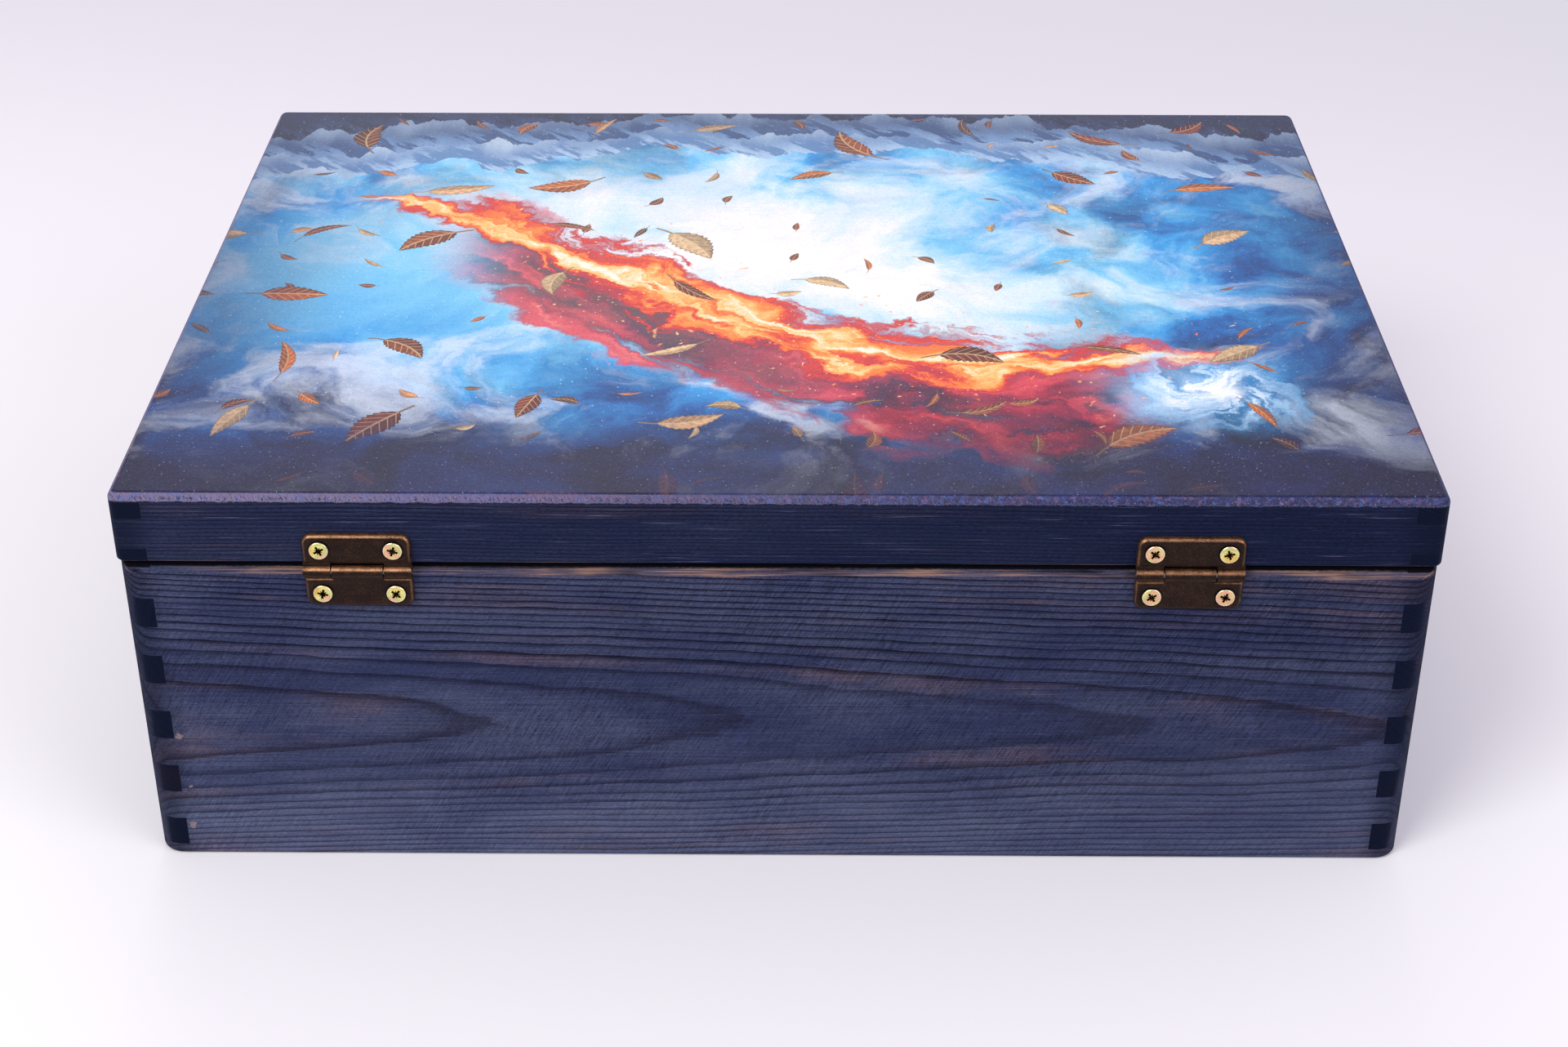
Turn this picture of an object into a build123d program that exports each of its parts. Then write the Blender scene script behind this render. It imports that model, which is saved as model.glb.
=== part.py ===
from build123d import *
import os

os.makedirs("parts", exist_ok=True)

# Closed box: X runs along the hinges, the hinges are at +Y, Z is up from the table
box_length = 400.0
box_width = 300.0
body_height = 111.0
lid_gap = 0.35
lid_rail_height = 20.65
lid_panel_thickness = 3.0

# Boards and the finger joints between them
board_thickness = 10.0
finger_pitch = 20.9
first_finger = 4.0
saw_kerf = 3.05
body_corner_radius = 7.5
body_foot_radius = 1.6
back_bevel = 3.7
lid_corner_radius = 3.0
lid_bottom_radius = 0.8
lid_panel_radius = 2.4

# Bottom panel in its rebate
bottom_thickness = 4.0
bottom_rebate = 5.0
bottom_clearance = 0.1

# Rows for the cards, and the stop that slides in each
row_count = 4
row_wall_thickness = 3.0
row_wall_height = 80.0
row_wall_corner_radius = 4.0
groove_depth = 3.0
groove_clearance = 0.1
stop_thickness = 3.0
stop_height = 76.0
stop_side_clearance = 0.3
stop_lift = 0.1
stop_corner_radius = 6.0
thumb_dip_radius = 14.0
thumb_dip_depth = 9.0
brace_length = 32.0
brace_height = 46.0
brace_thickness = 15.0
brace_toe = 4.0
stop_end_gap = 1.0

# Stamped hinges
left_hinge_inset = 76.0
right_hinge_inset = 73.5
hinge_axis_below_rim = 1.6
hinge_axis_out = 1.9
hinge_width = 32.6
hinge_half_height = 12.5
hinge_sheet = 0.9
leaf_stand = 2.2
leaf_edge_radius = 1.5
leaf_corner_radius = 3.0
barrel_radius = 1.95
leaf_barrel_gap = 0.35
middle_knuckle = 15.4
knuckle_gap = 0.4
pin_radius = 0.9
pin_clearance = 0.05
pin_end_bevel = 0.25
screw_spread = 11.1
screw_rise = 7.6

# Wood screws, one size throughout
screw_length = 10.0
screw_radius = 1.5
screw_root_radius = 1.1
screw_head_radius = 2.9
screw_head_rim = 0.4
screw_head_bevel = 0.12
screw_head_proud = 0.7
screw_thread_pitch = 1.3
screw_plain_shank = 1.6
screw_point = 2.0
screw_clearance = 0.05
recess_span = 3.3
recess_width = 0.75
recess_depth = 1.1
recess_star_span = 2.5
recess_star_width = 0.35
recess_star_depth = 0.4

# Swing hook latch at the front
latch_pivot_drop = 14.0
catch_rise = 10.5
latch_plate_length = 26.0
latch_ear_radius = 4.6
latch_waist_radius = 6.2
latch_plate_thickness = 1.2
latch_plate_edge = 0.5
latch_screw_spread = 8.4
hook_stand = 2.4
hook_thickness = 1.5
hook_gap = 0.2
hook_eye_radius = 4.1
hook_arm_width = 4.8
hook_arm_offset = 1.0
hook_jaw = 2.5
hook_tab_length = 9.0
hook_tab_width = 3.4
hook_tab_radius = 2.5
hook_tab_offset = 1.0
rivet_radius = 1.5
rivet_clearance = 0.06
rivet_head_radius = 3.0
rivet_head_height = 1.1
rivet_dome = 0.85
boss_radius = 3.4
post_radius = 1.6
post_clearance = 0.35
post_flare = 0.8
post_collar_radius = 2.6
post_head_radius = 2.9
post_head_height = 1.0
post_dome = 0.8

# Heights and places that follow from the sizes above
lid_bottom = body_height + lid_gap
lid_frame_top = lid_bottom + lid_rail_height
inner_length = box_length - 2 * board_thickness
inner_width = box_width - 2 * board_thickness
row_width = (inner_width - (row_count - 1) * row_wall_thickness) / row_count
row_pitch = row_width + row_wall_thickness
row_walls_y = [(n - row_count / 2) * row_pitch for n in range(1, row_count)]
rows_y = [(n - (row_count - 1) / 2) * row_pitch for n in range(row_count)]
finger_width = finger_pitch / 2
hinge_axis_z = body_height - hinge_axis_below_rim
leaf_start = barrel_radius + leaf_barrel_gap
leaf_height = hinge_half_height - leaf_start
side_knuckle = (hinge_width - middle_knuckle - 2 * knuckle_gap) / 2
knuckle_bore = pin_radius + pin_clearance
pilot_radius = screw_radius + screw_clearance
sink_radius = screw_head_radius - (screw_head_proud - screw_head_rim) + screw_clearance
latch_pivot_z = body_height - latch_pivot_drop
catch_z = lid_bottom + catch_rise
hook_reach = catch_z - latch_pivot_z
hook_front = hook_stand + hook_thickness
boss_height = hook_stand - hook_gap
floor_z = bottom_thickness
stop_front_x = inner_length / 2 - stop_end_gap - brace_length - stop_thickness
cut_margin = 1.0


# Planes that lie on the back and front faces, with local Y up and local Z pointing out
def back_plane(x, z, out=0.0):
    return Plane(origin=(x, box_width / 2 + out, z), x_dir=(-1, 0, 0), z_dir=(0, 1, 0))


def front_plane(z, out=0.0):
    return Plane(origin=(0, -box_width / 2 - out, z), x_dir=(1, 0, 0), z_dir=(0, -1, 0))


def finish_piece(piece, name):
    piece.part.label = name
    export_step(piece.part, f"parts/{name}.step")


# Heights where the side boards' fingers run through to the front and back faces
def finger_bands(low, high, shift):
    bands = []
    start = first_finger - shift
    while start < high:
        bottom = max(start, low)
        top = min(start + finger_width, high)
        if top > bottom:
            bands.append((bottom, top))
        start += finger_pitch
    return bands


# What is left between those bands, where the front and back boards' fingers show instead
def bands_between(low, high, bands):
    edges = [low] + [edge for band in bands for edge in band] + [high]
    return [(a, b) for a, b in zip(edges[::2], edges[1::2]) if b > a]


screw_places = {
    side: [(end * screw_spread, side * screw_rise) for end in (-1, 1)] for side in (-1, 1)
}
latch_screw_places = [(-latch_screw_spread, 0), (latch_screw_spread, 0)]
hinges_x = {
    "left": left_hinge_inset - box_length / 2,
    "right": box_length / 2 - right_hinge_inset,
}


# Pilot holes for the hinge screws and the latch screws, cut into the piece being made
def hinge_pilot_holes(side, stand):
    for x in hinges_x.values():
        with Locations(back_plane(x, hinge_axis_z)):
            with Locations(*screw_places[side]):
                Hole(pilot_radius, depth=screw_length - stand - screw_head_proud + screw_clearance)


def latch_pilot_holes(z, stand):
    with Locations(front_plane(z)):
        with Locations(*latch_screw_places):
            Hole(pilot_radius, depth=screw_length - stand - screw_head_proud + screw_clearance)


# A four-sided frame standing on the height low, cut down to the board on one side of it
def frame_board(low, height, corner_radius, lower_edge, centre, size, notches):
    with BuildPart() as board:
        with BuildSketch(Plane.XY.offset(low)):
            RectangleRounded(box_length, box_width, corner_radius)
        extrude(amount=height)
        fillet(board.edges().group_by(Axis.Z)[0], radius=lower_edge)
        with BuildSketch(Plane.XY.offset(low)):
            with Locations(centre):
                Rectangle(*size)
        extrude(amount=height, mode=Mode.INTERSECT)
        for bottom, top in notches:
            with BuildSketch(Plane.XY.offset(bottom)):
                with GridLocations(inner_length + board_thickness, inner_width + board_thickness, 2, 2):
                    Rectangle(board_thickness, board_thickness)
            extrude(amount=top - bottom, mode=Mode.SUBTRACT)
    return board


def long_board(side, low, height, corner_radius, lower_edge, shift):
    centre = (0, side * (inner_width + board_thickness) / 2)
    size = (box_length, board_thickness)
    notches = finger_bands(low, low + height, shift)
    return frame_board(low, height, corner_radius, lower_edge, centre, size, notches)


def side_board(side, low, height, corner_radius, lower_edge, shift):
    centre = (side * (inner_length + board_thickness) / 2, 0)
    size = (board_thickness, box_width)
    bands = finger_bands(low, low + height, shift)
    notches = bands_between(low, low + height, bands)
    return frame_board(low, height, corner_radius, lower_edge, centre, size, notches)


# The rebate for the bottom panel, and the long bevel along the back rim
def cut_rebate():
    with BuildSketch() as rebate:
        Rectangle(box_length - 2 * bottom_rebate, box_width - 2 * bottom_rebate)
    extrude(rebate.sketch, amount=bottom_thickness, mode=Mode.SUBTRACT)


def cut_back_bevel():
    with BuildSketch(Plane.YZ.offset(-box_length / 2 - cut_margin)) as wedge:
        with BuildLine():
            Polyline(
                (box_width / 2 - back_bevel - cut_margin, body_height + cut_margin),
                (box_width / 2 + cut_margin, body_height + cut_margin),
                (box_width / 2 + cut_margin, body_height - back_bevel - cut_margin),
                close=True,
            )
        make_face()
    extrude(wedge.sketch, amount=box_length + 2 * cut_margin, mode=Mode.SUBTRACT)


# Body boards
for name, side in (("front_board", -1), ("back_board", 1)):
    with BuildPart() as body_long_board:
        add(long_board(side, 0, body_height, body_corner_radius, body_foot_radius, 0).part)
        cut_rebate()
        if side > 0:
            cut_back_bevel()
            hinge_pilot_holes(-1, leaf_stand)
        else:
            latch_pilot_holes(latch_pivot_z, latch_plate_thickness)
    finish_piece(body_long_board, name)

for name, side in (("left_board", -1), ("right_board", 1)):
    with BuildPart() as body_side_board:
        add(side_board(side, 0, body_height, body_corner_radius, body_foot_radius, 0).part)
        cut_rebate()
        cut_back_bevel()
        with BuildSketch(Plane.XY.offset(floor_z)):
            with Locations(*[(side * inner_length / 2, y) for y in row_walls_y]):
                Rectangle(2 * groove_depth, row_wall_thickness + 2 * groove_clearance)
        extrude(amount=row_wall_height + groove_clearance, mode=Mode.SUBTRACT)
    finish_piece(body_side_board, name)

with BuildPart() as bottom_panel:
    with BuildSketch():
        Rectangle(
            box_length - 2 * bottom_rebate - 2 * bottom_clearance,
            box_width - 2 * bottom_rebate - 2 * bottom_clearance,
        )
    extrude(amount=bottom_thickness)
finish_piece(bottom_panel, "bottom_panel")

# Walls between the rows, housed in grooves at both ends
for n, y in enumerate(row_walls_y, start=1):
    with BuildPart() as row_wall:
        with BuildSketch(Plane.XZ.offset(-y - row_wall_thickness / 2)):
            with Locations((0, floor_z + row_wall_height / 2)):
                wall_face = Rectangle(
                    inner_length + 2 * groove_depth - 2 * groove_clearance, row_wall_height
                )
            fillet(wall_face.vertices().group_by(Axis.Y)[-1], radius=row_wall_corner_radius)
        extrude(amount=row_wall_thickness)
    finish_piece(row_wall, f"row_wall_{n}")

# Sliding stops: an upright plate with a thumb dip, and a block glued behind it
for n, y in enumerate(rows_y, start=1):
    stop_base = floor_z + stop_lift
    with BuildPart() as stop_plate:
        with BuildSketch(Plane.YZ.offset(stop_front_x)):
            with Locations((y, stop_base + stop_height / 2)):
                plate_face = Rectangle(row_width - 2 * stop_side_clearance, stop_height)
            fillet(plate_face.vertices().group_by(Axis.Y)[-1], radius=stop_corner_radius)
            with Locations((y, stop_base + stop_height + thumb_dip_radius - thumb_dip_depth)):
                Circle(thumb_dip_radius, mode=Mode.SUBTRACT)
        extrude(amount=stop_thickness)
    finish_piece(stop_plate, f"stop_plate_{n}")

    with BuildPart() as stop_brace:
        brace_x = stop_front_x + stop_thickness
        with BuildSketch(Plane.XZ.offset(-y - brace_thickness / 2)):
            with BuildLine():
                Polyline(
                    (brace_x, stop_base),
                    (brace_x + brace_length, stop_base),
                    (brace_x + brace_length, stop_base + brace_toe),
                    (brace_x + brace_toe, stop_base + brace_height),
                    (brace_x, stop_base + brace_height),
                    close=True,
                )
            make_face()
        extrude(amount=brace_thickness)
    finish_piece(stop_brace, f"stop_brace_{n}")

# Lid frame, its fingers shifted by the width that the saw took out of the box
for name, side in (("lid_front_rail", -1), ("lid_back_rail", 1)):
    with BuildPart() as lid_long_rail:
        add(long_board(
            side, lid_bottom, lid_rail_height, lid_corner_radius, lid_bottom_radius, saw_kerf
        ).part)
        if side > 0:
            hinge_pilot_holes(1, leaf_stand)
        else:
            latch_pilot_holes(catch_z, latch_plate_thickness)
    finish_piece(lid_long_rail, name)

for name, side in (("lid_left_rail", -1), ("lid_right_rail", 1)):
    with BuildPart() as lid_side_rail:
        add(side_board(
            side, lid_bottom, lid_rail_height, lid_corner_radius, lid_bottom_radius, saw_kerf
        ).part)
    finish_piece(lid_side_rail, name)

with BuildPart() as lid_panel:
    with BuildSketch(Plane.XY.offset(lid_frame_top)):
        RectangleRounded(box_length, box_width, lid_corner_radius)
    extrude(amount=lid_panel_thickness)
    fillet(lid_panel.faces().sort_by(Axis.Z)[-1].edges(), radius=lid_panel_radius)
finish_piece(lid_panel, "lid_panel")


# One hinge leaf: a dished plate with countersunk holes, and its share of the barrel.
# side is 1 for the leaf on the lid and -1 for the leaf on the box.
def hinge_leaf(x, side, knuckles):
    wall = back_plane(x, hinge_axis_z)
    with BuildPart() as leaf:
        with BuildSketch(wall):
            with Locations((0, side * (leaf_start + leaf_height / 2))):
                outline = Rectangle(hinge_width, leaf_height)
            outer_corners = outline.vertices().group_by(Axis.Y)[-1 if side > 0 else 0]
            fillet(outer_corners, radius=leaf_corner_radius)
        extrude(amount=leaf_stand)
        fillet(leaf.faces().sort_by(Axis.Y)[-1].edges(), radius=leaf_edge_radius)
        with BuildSketch(wall):
            with Locations((0, side * (leaf_start + leaf_height / 2))):
                Rectangle(hinge_width - 2 * hinge_sheet, leaf_height - 2 * hinge_sheet)
        extrude(amount=leaf_stand - hinge_sheet, mode=Mode.SUBTRACT)
        for centre, width in knuckles:
            # the sheet runs from the plate to the barrel, then round the pin
            with BuildSketch(wall):
                with Locations((centre, side * (leaf_start + hinge_sheet) / 2)):
                    Rectangle(width, leaf_start + hinge_sheet)
            extrude(amount=leaf_stand)
            with BuildSketch(Plane.YZ.offset(x - centre - width / 2)):
                with Locations((box_width / 2 + hinge_axis_out, hinge_axis_z)):
                    Circle(barrel_radius)
            extrude(amount=width)
        with Locations(wall.offset(leaf_stand)):
            with Locations(*screw_places[side]):
                CounterSinkHole(pilot_radius, sink_radius, counter_sink_angle=90)
        with BuildSketch(Plane.YZ.offset(x - hinge_width / 2)):
            with Locations((box_width / 2 + hinge_axis_out, hinge_axis_z)):
                Circle(knuckle_bore)
        extrude(amount=hinge_width, mode=Mode.SUBTRACT)
    return leaf


end_knuckle_centre = (hinge_width - side_knuckle) / 2
box_knuckles = [(0, middle_knuckle)]
lid_knuckles = [(-end_knuckle_centre, side_knuckle), (end_knuckle_centre, side_knuckle)]

for place, x in hinges_x.items():
    with BuildPart() as box_leaf:
        add(hinge_leaf(x, -1, box_knuckles).part)
    finish_piece(box_leaf, f"{place}_hinge_box_leaf")

    with BuildPart() as lid_leaf:
        add(hinge_leaf(x, 1, lid_knuckles).part)
    finish_piece(lid_leaf, f"{place}_hinge_lid_leaf")

    with BuildPart() as hinge_pin:
        with BuildSketch(Plane.YZ.offset(x - hinge_width / 2)):
            with Locations((box_width / 2 + hinge_axis_out, hinge_axis_z)):
                Circle(pin_radius)
        extrude(amount=hinge_width)
        chamfer(hinge_pin.edges().filter_by(GeomType.CIRCLE), length=pin_end_bevel)
    finish_piece(hinge_pin, f"{place}_hinge_pin")

# Wood screw with its head on top at the origin: rim, cone, plain shank, thread and point
cone_height = screw_head_radius - screw_radius
thread_top = screw_head_rim + cone_height + screw_plain_shank
thread_turns = int((screw_length - screw_point - thread_top) / screw_thread_pitch)
with BuildPart() as wood_screw:
    with BuildSketch(Plane.XZ):
        with BuildLine():
            outline = [
                (0, 0),
                (screw_head_radius - screw_head_bevel, 0),
                (screw_head_radius, -screw_head_bevel),
                (screw_head_radius, -screw_head_rim),
                (screw_radius, -screw_head_rim - cone_height),
                (screw_radius, -thread_top),
            ]
            for turn in range(thread_turns):
                root_z = -thread_top - (turn + 0.5) * screw_thread_pitch
                outline.append((screw_root_radius, root_z))
                outline.append((screw_radius, root_z - screw_thread_pitch / 2))
            outline.append((0, -screw_length))
            Polyline(*outline, close=True)
        make_face()
    revolve(axis=Axis.Z)
    with BuildSketch():
        Rectangle(recess_span, recess_width)
        Rectangle(recess_width, recess_span)
    extrude(amount=-recess_depth, mode=Mode.SUBTRACT)
    with BuildSketch():
        Rectangle(recess_star_span, recess_star_width, rotation=45)
        Rectangle(recess_star_span, recess_star_width, rotation=-45)
    extrude(amount=-recess_star_depth, mode=Mode.SUBTRACT)

for name, side in (("hinge_box_screws", -1), ("hinge_lid_screws", 1)):
    with BuildPart() as hinge_screws:
        for x in hinges_x.values():
            with Locations(back_plane(x, hinge_axis_z, leaf_stand + screw_head_proud)):
                with Locations(*screw_places[side]):
                    add(wood_screw.part)
    finish_piece(hinge_screws, name)

for name, z in (("latch_base_screws", latch_pivot_z), ("catch_screws", catch_z)):
    with BuildPart() as latch_screws:
        with Locations(front_plane(z, latch_plate_thickness + screw_head_proud)):
            with Locations(*latch_screw_places):
                add(wood_screw.part)
    finish_piece(latch_screws, name)


# Latch plates share one outline: two screw ears and a round waist with a raised boss
def latch_plate(z, raised_radius, hole_radius):
    with BuildPart() as plate:
        with BuildSketch(front_plane(z)):
            SlotOverall(latch_plate_length, 2 * latch_ear_radius)
            Circle(latch_waist_radius)
        extrude(amount=latch_plate_thickness)
        fillet(plate.faces().sort_by(Axis.Y)[0].edges(), radius=latch_plate_edge)
        with BuildSketch(front_plane(z, latch_plate_thickness)):
            Circle(raised_radius)
        extrude(amount=boss_height - latch_plate_thickness)
        with Locations(front_plane(z, boss_height)):
            Hole(hole_radius)
        with Locations(front_plane(z, latch_plate_thickness)):
            with Locations(*latch_screw_places):
                CounterSinkHole(pilot_radius, sink_radius, counter_sink_angle=90)
    return plate


with BuildPart() as latch_base:
    add(latch_plate(latch_pivot_z, boss_radius, rivet_radius).part)
finish_piece(latch_base, "latch_base")

with BuildPart() as catch_plate:
    add(latch_plate(catch_z, post_collar_radius, post_radius).part)
finish_piece(catch_plate, "catch_plate")


# Rivet and catch post: a plain shank through the plate, and a domed head outside the hook
def headed_pin(z, shank_radius, head_radius, head_height, dome):
    with BuildPart() as pin:
        with BuildSketch(front_plane(z)):
            Circle(shank_radius)
        extrude(amount=hook_front + hook_gap)
        with BuildSketch(front_plane(z, hook_front + hook_gap)):
            Circle(head_radius)
        extrude(amount=head_height)
        fillet(pin.faces().sort_by(Axis.Y)[0].edges(), radius=dome)
    return pin


with BuildPart() as latch_rivet:
    add(headed_pin(
        latch_pivot_z, rivet_radius, rivet_head_radius, rivet_head_height, rivet_dome
    ).part)
finish_piece(latch_rivet, "latch_rivet")

with BuildPart() as catch_post:
    add(headed_pin(catch_z, post_radius, post_head_radius, post_head_height, post_dome).part)
finish_piece(catch_post, "catch_post")

# Swing hook, hanging straight down from its rivet with its mouth to the right
with BuildPart() as latch_hook:
    throat = post_radius + post_clearance
    jaw_radius = throat + hook_jaw
    tab_end = hook_reach + jaw_radius + hook_tab_length - hook_jaw
    with BuildSketch(front_plane(latch_pivot_z, hook_stand)):
        Circle(hook_eye_radius)
        with Locations((-hook_arm_offset, -hook_reach / 2)):
            Rectangle(hook_arm_width, hook_reach)
        with Locations((0, -hook_reach)):
            Circle(jaw_radius)
        with Locations((-hook_tab_offset, -(hook_reach + tab_end) / 2)):
            Rectangle(hook_tab_width, tab_end - hook_reach)
        with Locations((-hook_tab_offset, -tab_end)):
            Circle(hook_tab_radius)
        with Locations((0, -hook_reach)):
            Circle(throat, mode=Mode.SUBTRACT)
        with Locations((jaw_radius, -hook_reach + post_flare / 2)):
            Rectangle(2 * jaw_radius, 2 * throat + post_flare, mode=Mode.SUBTRACT)
        Circle(rivet_radius + rivet_clearance, mode=Mode.SUBTRACT)
    extrude(amount=hook_thickness)
finish_piece(latch_hook, "latch_hook")
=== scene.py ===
import math
from functools import partial

import bpy
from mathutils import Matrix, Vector


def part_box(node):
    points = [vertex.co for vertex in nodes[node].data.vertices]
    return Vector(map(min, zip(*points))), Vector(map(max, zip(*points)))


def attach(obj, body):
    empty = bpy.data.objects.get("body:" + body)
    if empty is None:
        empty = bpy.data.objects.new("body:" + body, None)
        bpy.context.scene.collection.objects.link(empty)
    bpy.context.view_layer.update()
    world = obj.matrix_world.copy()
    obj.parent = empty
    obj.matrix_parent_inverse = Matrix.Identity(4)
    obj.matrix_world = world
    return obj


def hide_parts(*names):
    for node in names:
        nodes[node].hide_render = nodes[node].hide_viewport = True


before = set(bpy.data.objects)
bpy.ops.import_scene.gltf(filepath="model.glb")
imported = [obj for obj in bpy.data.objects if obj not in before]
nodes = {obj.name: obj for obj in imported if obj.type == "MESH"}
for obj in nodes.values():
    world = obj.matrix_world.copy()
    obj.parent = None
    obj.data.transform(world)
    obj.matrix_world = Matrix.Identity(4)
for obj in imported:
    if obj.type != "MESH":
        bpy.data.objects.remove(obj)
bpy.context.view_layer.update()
mm = 1000.0  # object coordinates are metres, and the patterns below are written in millimetres


# a node's box along one axis, in millimetres
def lowOf(name, axis):
    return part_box(name)[0][axis] * mm


def highOf(name, axis):
    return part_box(name)[1][axis] * mm


def middleOf(name, axis):
    return (lowOf(name, axis) + highOf(name, axis)) / 2


boxHalf = {"X": highOf("lid_panel", 0), "Y": highOf("lid_panel", 1)}
boxTop = highOf("lid_panel", 2)
bodyRim = highOf("back_board", 2)
print("frame loaded,", len(nodes), "nodes")


# colours are written as they look on screen and turned into linear light here
def paint(code):
    steps = [int(code[i:i + 2], 16) / 255 for i in (1, 3, 5)]
    return tuple(c / 12.92 if c <= 0.04045 else ((c + 0.055) / 1.055) ** 2.4 for c in steps) + (1.0,)


# small helpers that keep the node code short; each adds to the node tree that lies on the bench
bench = {"tree": None}


def plug(value, socket):
    if isinstance(value, bpy.types.NodeSocket):
        bench["tree"].links.new(value, socket)
    elif isinstance(value, str):
        socket.default_value = paint(value)
    else:
        socket.default_value = value


def wire(sockets, plugs):
    for key, value in plugs.items():
        plug(value, sockets[key])


def addNode(kind, plugs=None, **settings):
    node = bench["tree"].nodes.new("ShaderNode" + kind)
    for key, value in settings.items():
        setattr(node, key, value)
    wire(node.inputs, plugs or {})
    return node


def calc(operation, *values):
    return addNode("Math", dict(enumerate(values)), operation=operation).outputs[0]


def chain(operation, total, *values):
    for value in values:
        total = calc(operation, total, value)
    return total


times = partial(chain, "MULTIPLY")
plus = partial(chain, "ADD")
minus = partial(calc, "SUBTRACT")
over = partial(calc, "DIVIDE")
power = partial(calc, "POWER")
timesPlus = partial(calc, "MULTIPLY_ADD")
absolute = partial(calc, "ABSOLUTE")
biggest = partial(calc, "MAXIMUM")
smallest = partial(calc, "MINIMUM")
lessThan = partial(calc, "LESS_THAN")
moreThan = partial(calc, "GREATER_THAN")
wholePart = partial(calc, "FLOOR")
sineOf = partial(calc, "SINE")
cosineOf = partial(calc, "COSINE")
zigzag = partial(calc, "PINGPONG")


def centred(value, amount):  # a noise value, as plus or minus half the amount
    return timesPlus(value, amount, -amount / 2)


def vecCalc(operation, a, b):
    return addNode("VectorMath", {0: a, 1: b}, operation=operation).outputs[0]


def scaled(vector, factor):
    return addNode("VectorMath", {0: vector, "Scale": factor}, operation="SCALE").outputs[0]


def lengthOf(vector):
    return addNode("VectorMath", {0: vector}, operation="LENGTH").outputs["Value"]


def awayFrom(place, point):
    return lengthOf(vecCalc("SUBTRACT", place, point))


def joinXyz(x=0.0, y=0.0, z=0.0):
    return addNode("CombineXYZ", {"X": x, "Y": y, "Z": z}).outputs[0]


def stretched(x, y, factors, z=0.0):
    return joinXyz(times(x, factors[0]), times(y, factors[1]), z)


def axesOf(vector):
    return addNode("SeparateXYZ", {0: vector}).outputs


# a pair of limits in the dictionaries below is where a change begins and where it is complete;
# where four are given, the last two are the values at those places
def smooth(value, low, high, toLow=0.0, toHigh=1.0):
    limits = {"Value": value, "From Min": low, "From Max": high, "To Min": toLow, "To Max": toHigh}
    return addNode("MapRange", limits, interpolation_type="SMOOTHSTEP").outputs[0]


def noise(vector, scale=1.0, detail=2.0, rough=0.5, bend=0.0, out="Fac"):
    look = {"Vector": vector, "Scale": scale, "Detail": detail, "Roughness": rough, "Distortion": bend}
    return addNode("TexNoise", look).outputs[out]


def warped(vector, amount, **look):
    push = vecCalc("SUBTRACT", noise(vector, out="Color", **look), (0.5, 0.5, 0.5))
    return vecCalc("ADD", vector, scaled(push, amount))


def cellsOf(vector, scale, loose=1.0):
    look = {"Vector": vector, "Scale": scale, "Randomness": loose}
    return addNode("TexVoronoi", look, voronoi_dimensions="2D").outputs


def mixColor(factor, a, b):
    return addNode("Mix", {0: factor, 6: a, 7: b}, data_type="RGBA").outputs[2]


def mixValue(factor, a, b):
    return addNode("Mix", {0: factor, 2: a, 3: b}).outputs[0]


def ramp(factor, stops):
    node = addNode("ValToRGB", {"Fac": factor})
    points = node.color_ramp.elements
    while len(points) < len(stops):
        points.new(0.5)
    for point, (place, code) in zip(points, stops):
        point.position = place
        point.color = paint(code)
    return node.outputs["Color"]


def newGroup(name, ins, outs):  # an input of None is a vector
    group = bpy.data.node_groups.new(name, "ShaderNodeTree")
    for label, value in ins.items():
        kind = "NodeSocketVector" if value is None else "NodeSocketFloat"
        socket = group.interface.new_socket(name=label, in_out="INPUT", socket_type=kind)
        if value is not None:
            socket.default_value = value
    for label, kind in outs.items():
        group.interface.new_socket(name=label, in_out="OUTPUT", socket_type="NodeSocket" + kind)
    bench["tree"] = group
    return group, group.nodes.new("NodeGroupInput").outputs, group.nodes.new("NodeGroupOutput").inputs


def useGroup(group, plugs):
    return addNode("Group", plugs, node_tree=group).outputs


def newMaterial(name, fixed):
    material = bpy.data.materials.new(name)
    material.use_nodes = True
    bench["tree"] = material.node_tree
    shader = material.node_tree.nodes["Principled BSDF"]
    wire(shader.inputs, fixed)
    return material, shader


def bump(height, strength, distance):
    return addNode("Bump", {"Height": height, "Strength": strength, "Distance": distance}).outputs[0]


def seenByEye():
    rays = addNode("LightPath").outputs
    return biggest(rays["Is Camera Ray"], rays["Is Glossy Ray"])


def objectPlace():
    coords = addNode("TexCoord").outputs
    place = scaled(coords["Object"], mm)
    return place, axesOf(place), axesOf(coords["Normal"])


def dress(name, material):
    for slot in nodes[name].material_slots:
        slot.material = material


# broken edges: a CAD node keeps its own mesh, and modifiers weld it and round its edges slightly
def easeEdges(node, width, weldGap=0.00001, segments=2, fromAngle=40):
    weld = node.modifiers.new("weld", "WELD")
    weld.merge_threshold = weldGap
    ease = node.modifiers.new("ease", "BEVEL")
    ease.width = width
    ease.segments = segments
    ease.limit_method = "ANGLE"
    ease.angle_limit = math.radians(fromAngle)
    ease.use_clamp_overlap = True
    even = node.modifiers.new("even", "WEIGHTED_NORMAL")
    even.keep_sharp = False


def addObject(name, data):
    added = bpy.data.objects.new(name, data)
    bpy.context.scene.collection.objects.link(added)
    return added


def turnTowards(direction):
    return Vector(direction).to_track_quat("-Z", "Y").to_euler()


# camera at the photograph's viewpoint, behind the box and above it
cameraLook = {
    "place": (-0.0073, 0.8096, 0.5238),
    "towards": (0.00702, -0.8562, -0.5167),
    "lens": 59.3,
    "sensor": 36.0,
}
camera = addObject("photoCamera", bpy.data.cameras.new("photoCamera"))
camera.data.lens = cameraLook["lens"]
camera.data.sensor_width = cameraLook["sensor"]
camera.location = cameraLook["place"]
camera.rotation_euler = turnTowards(cameraLook["towards"])
bpy.context.scene.camera = camera

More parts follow.
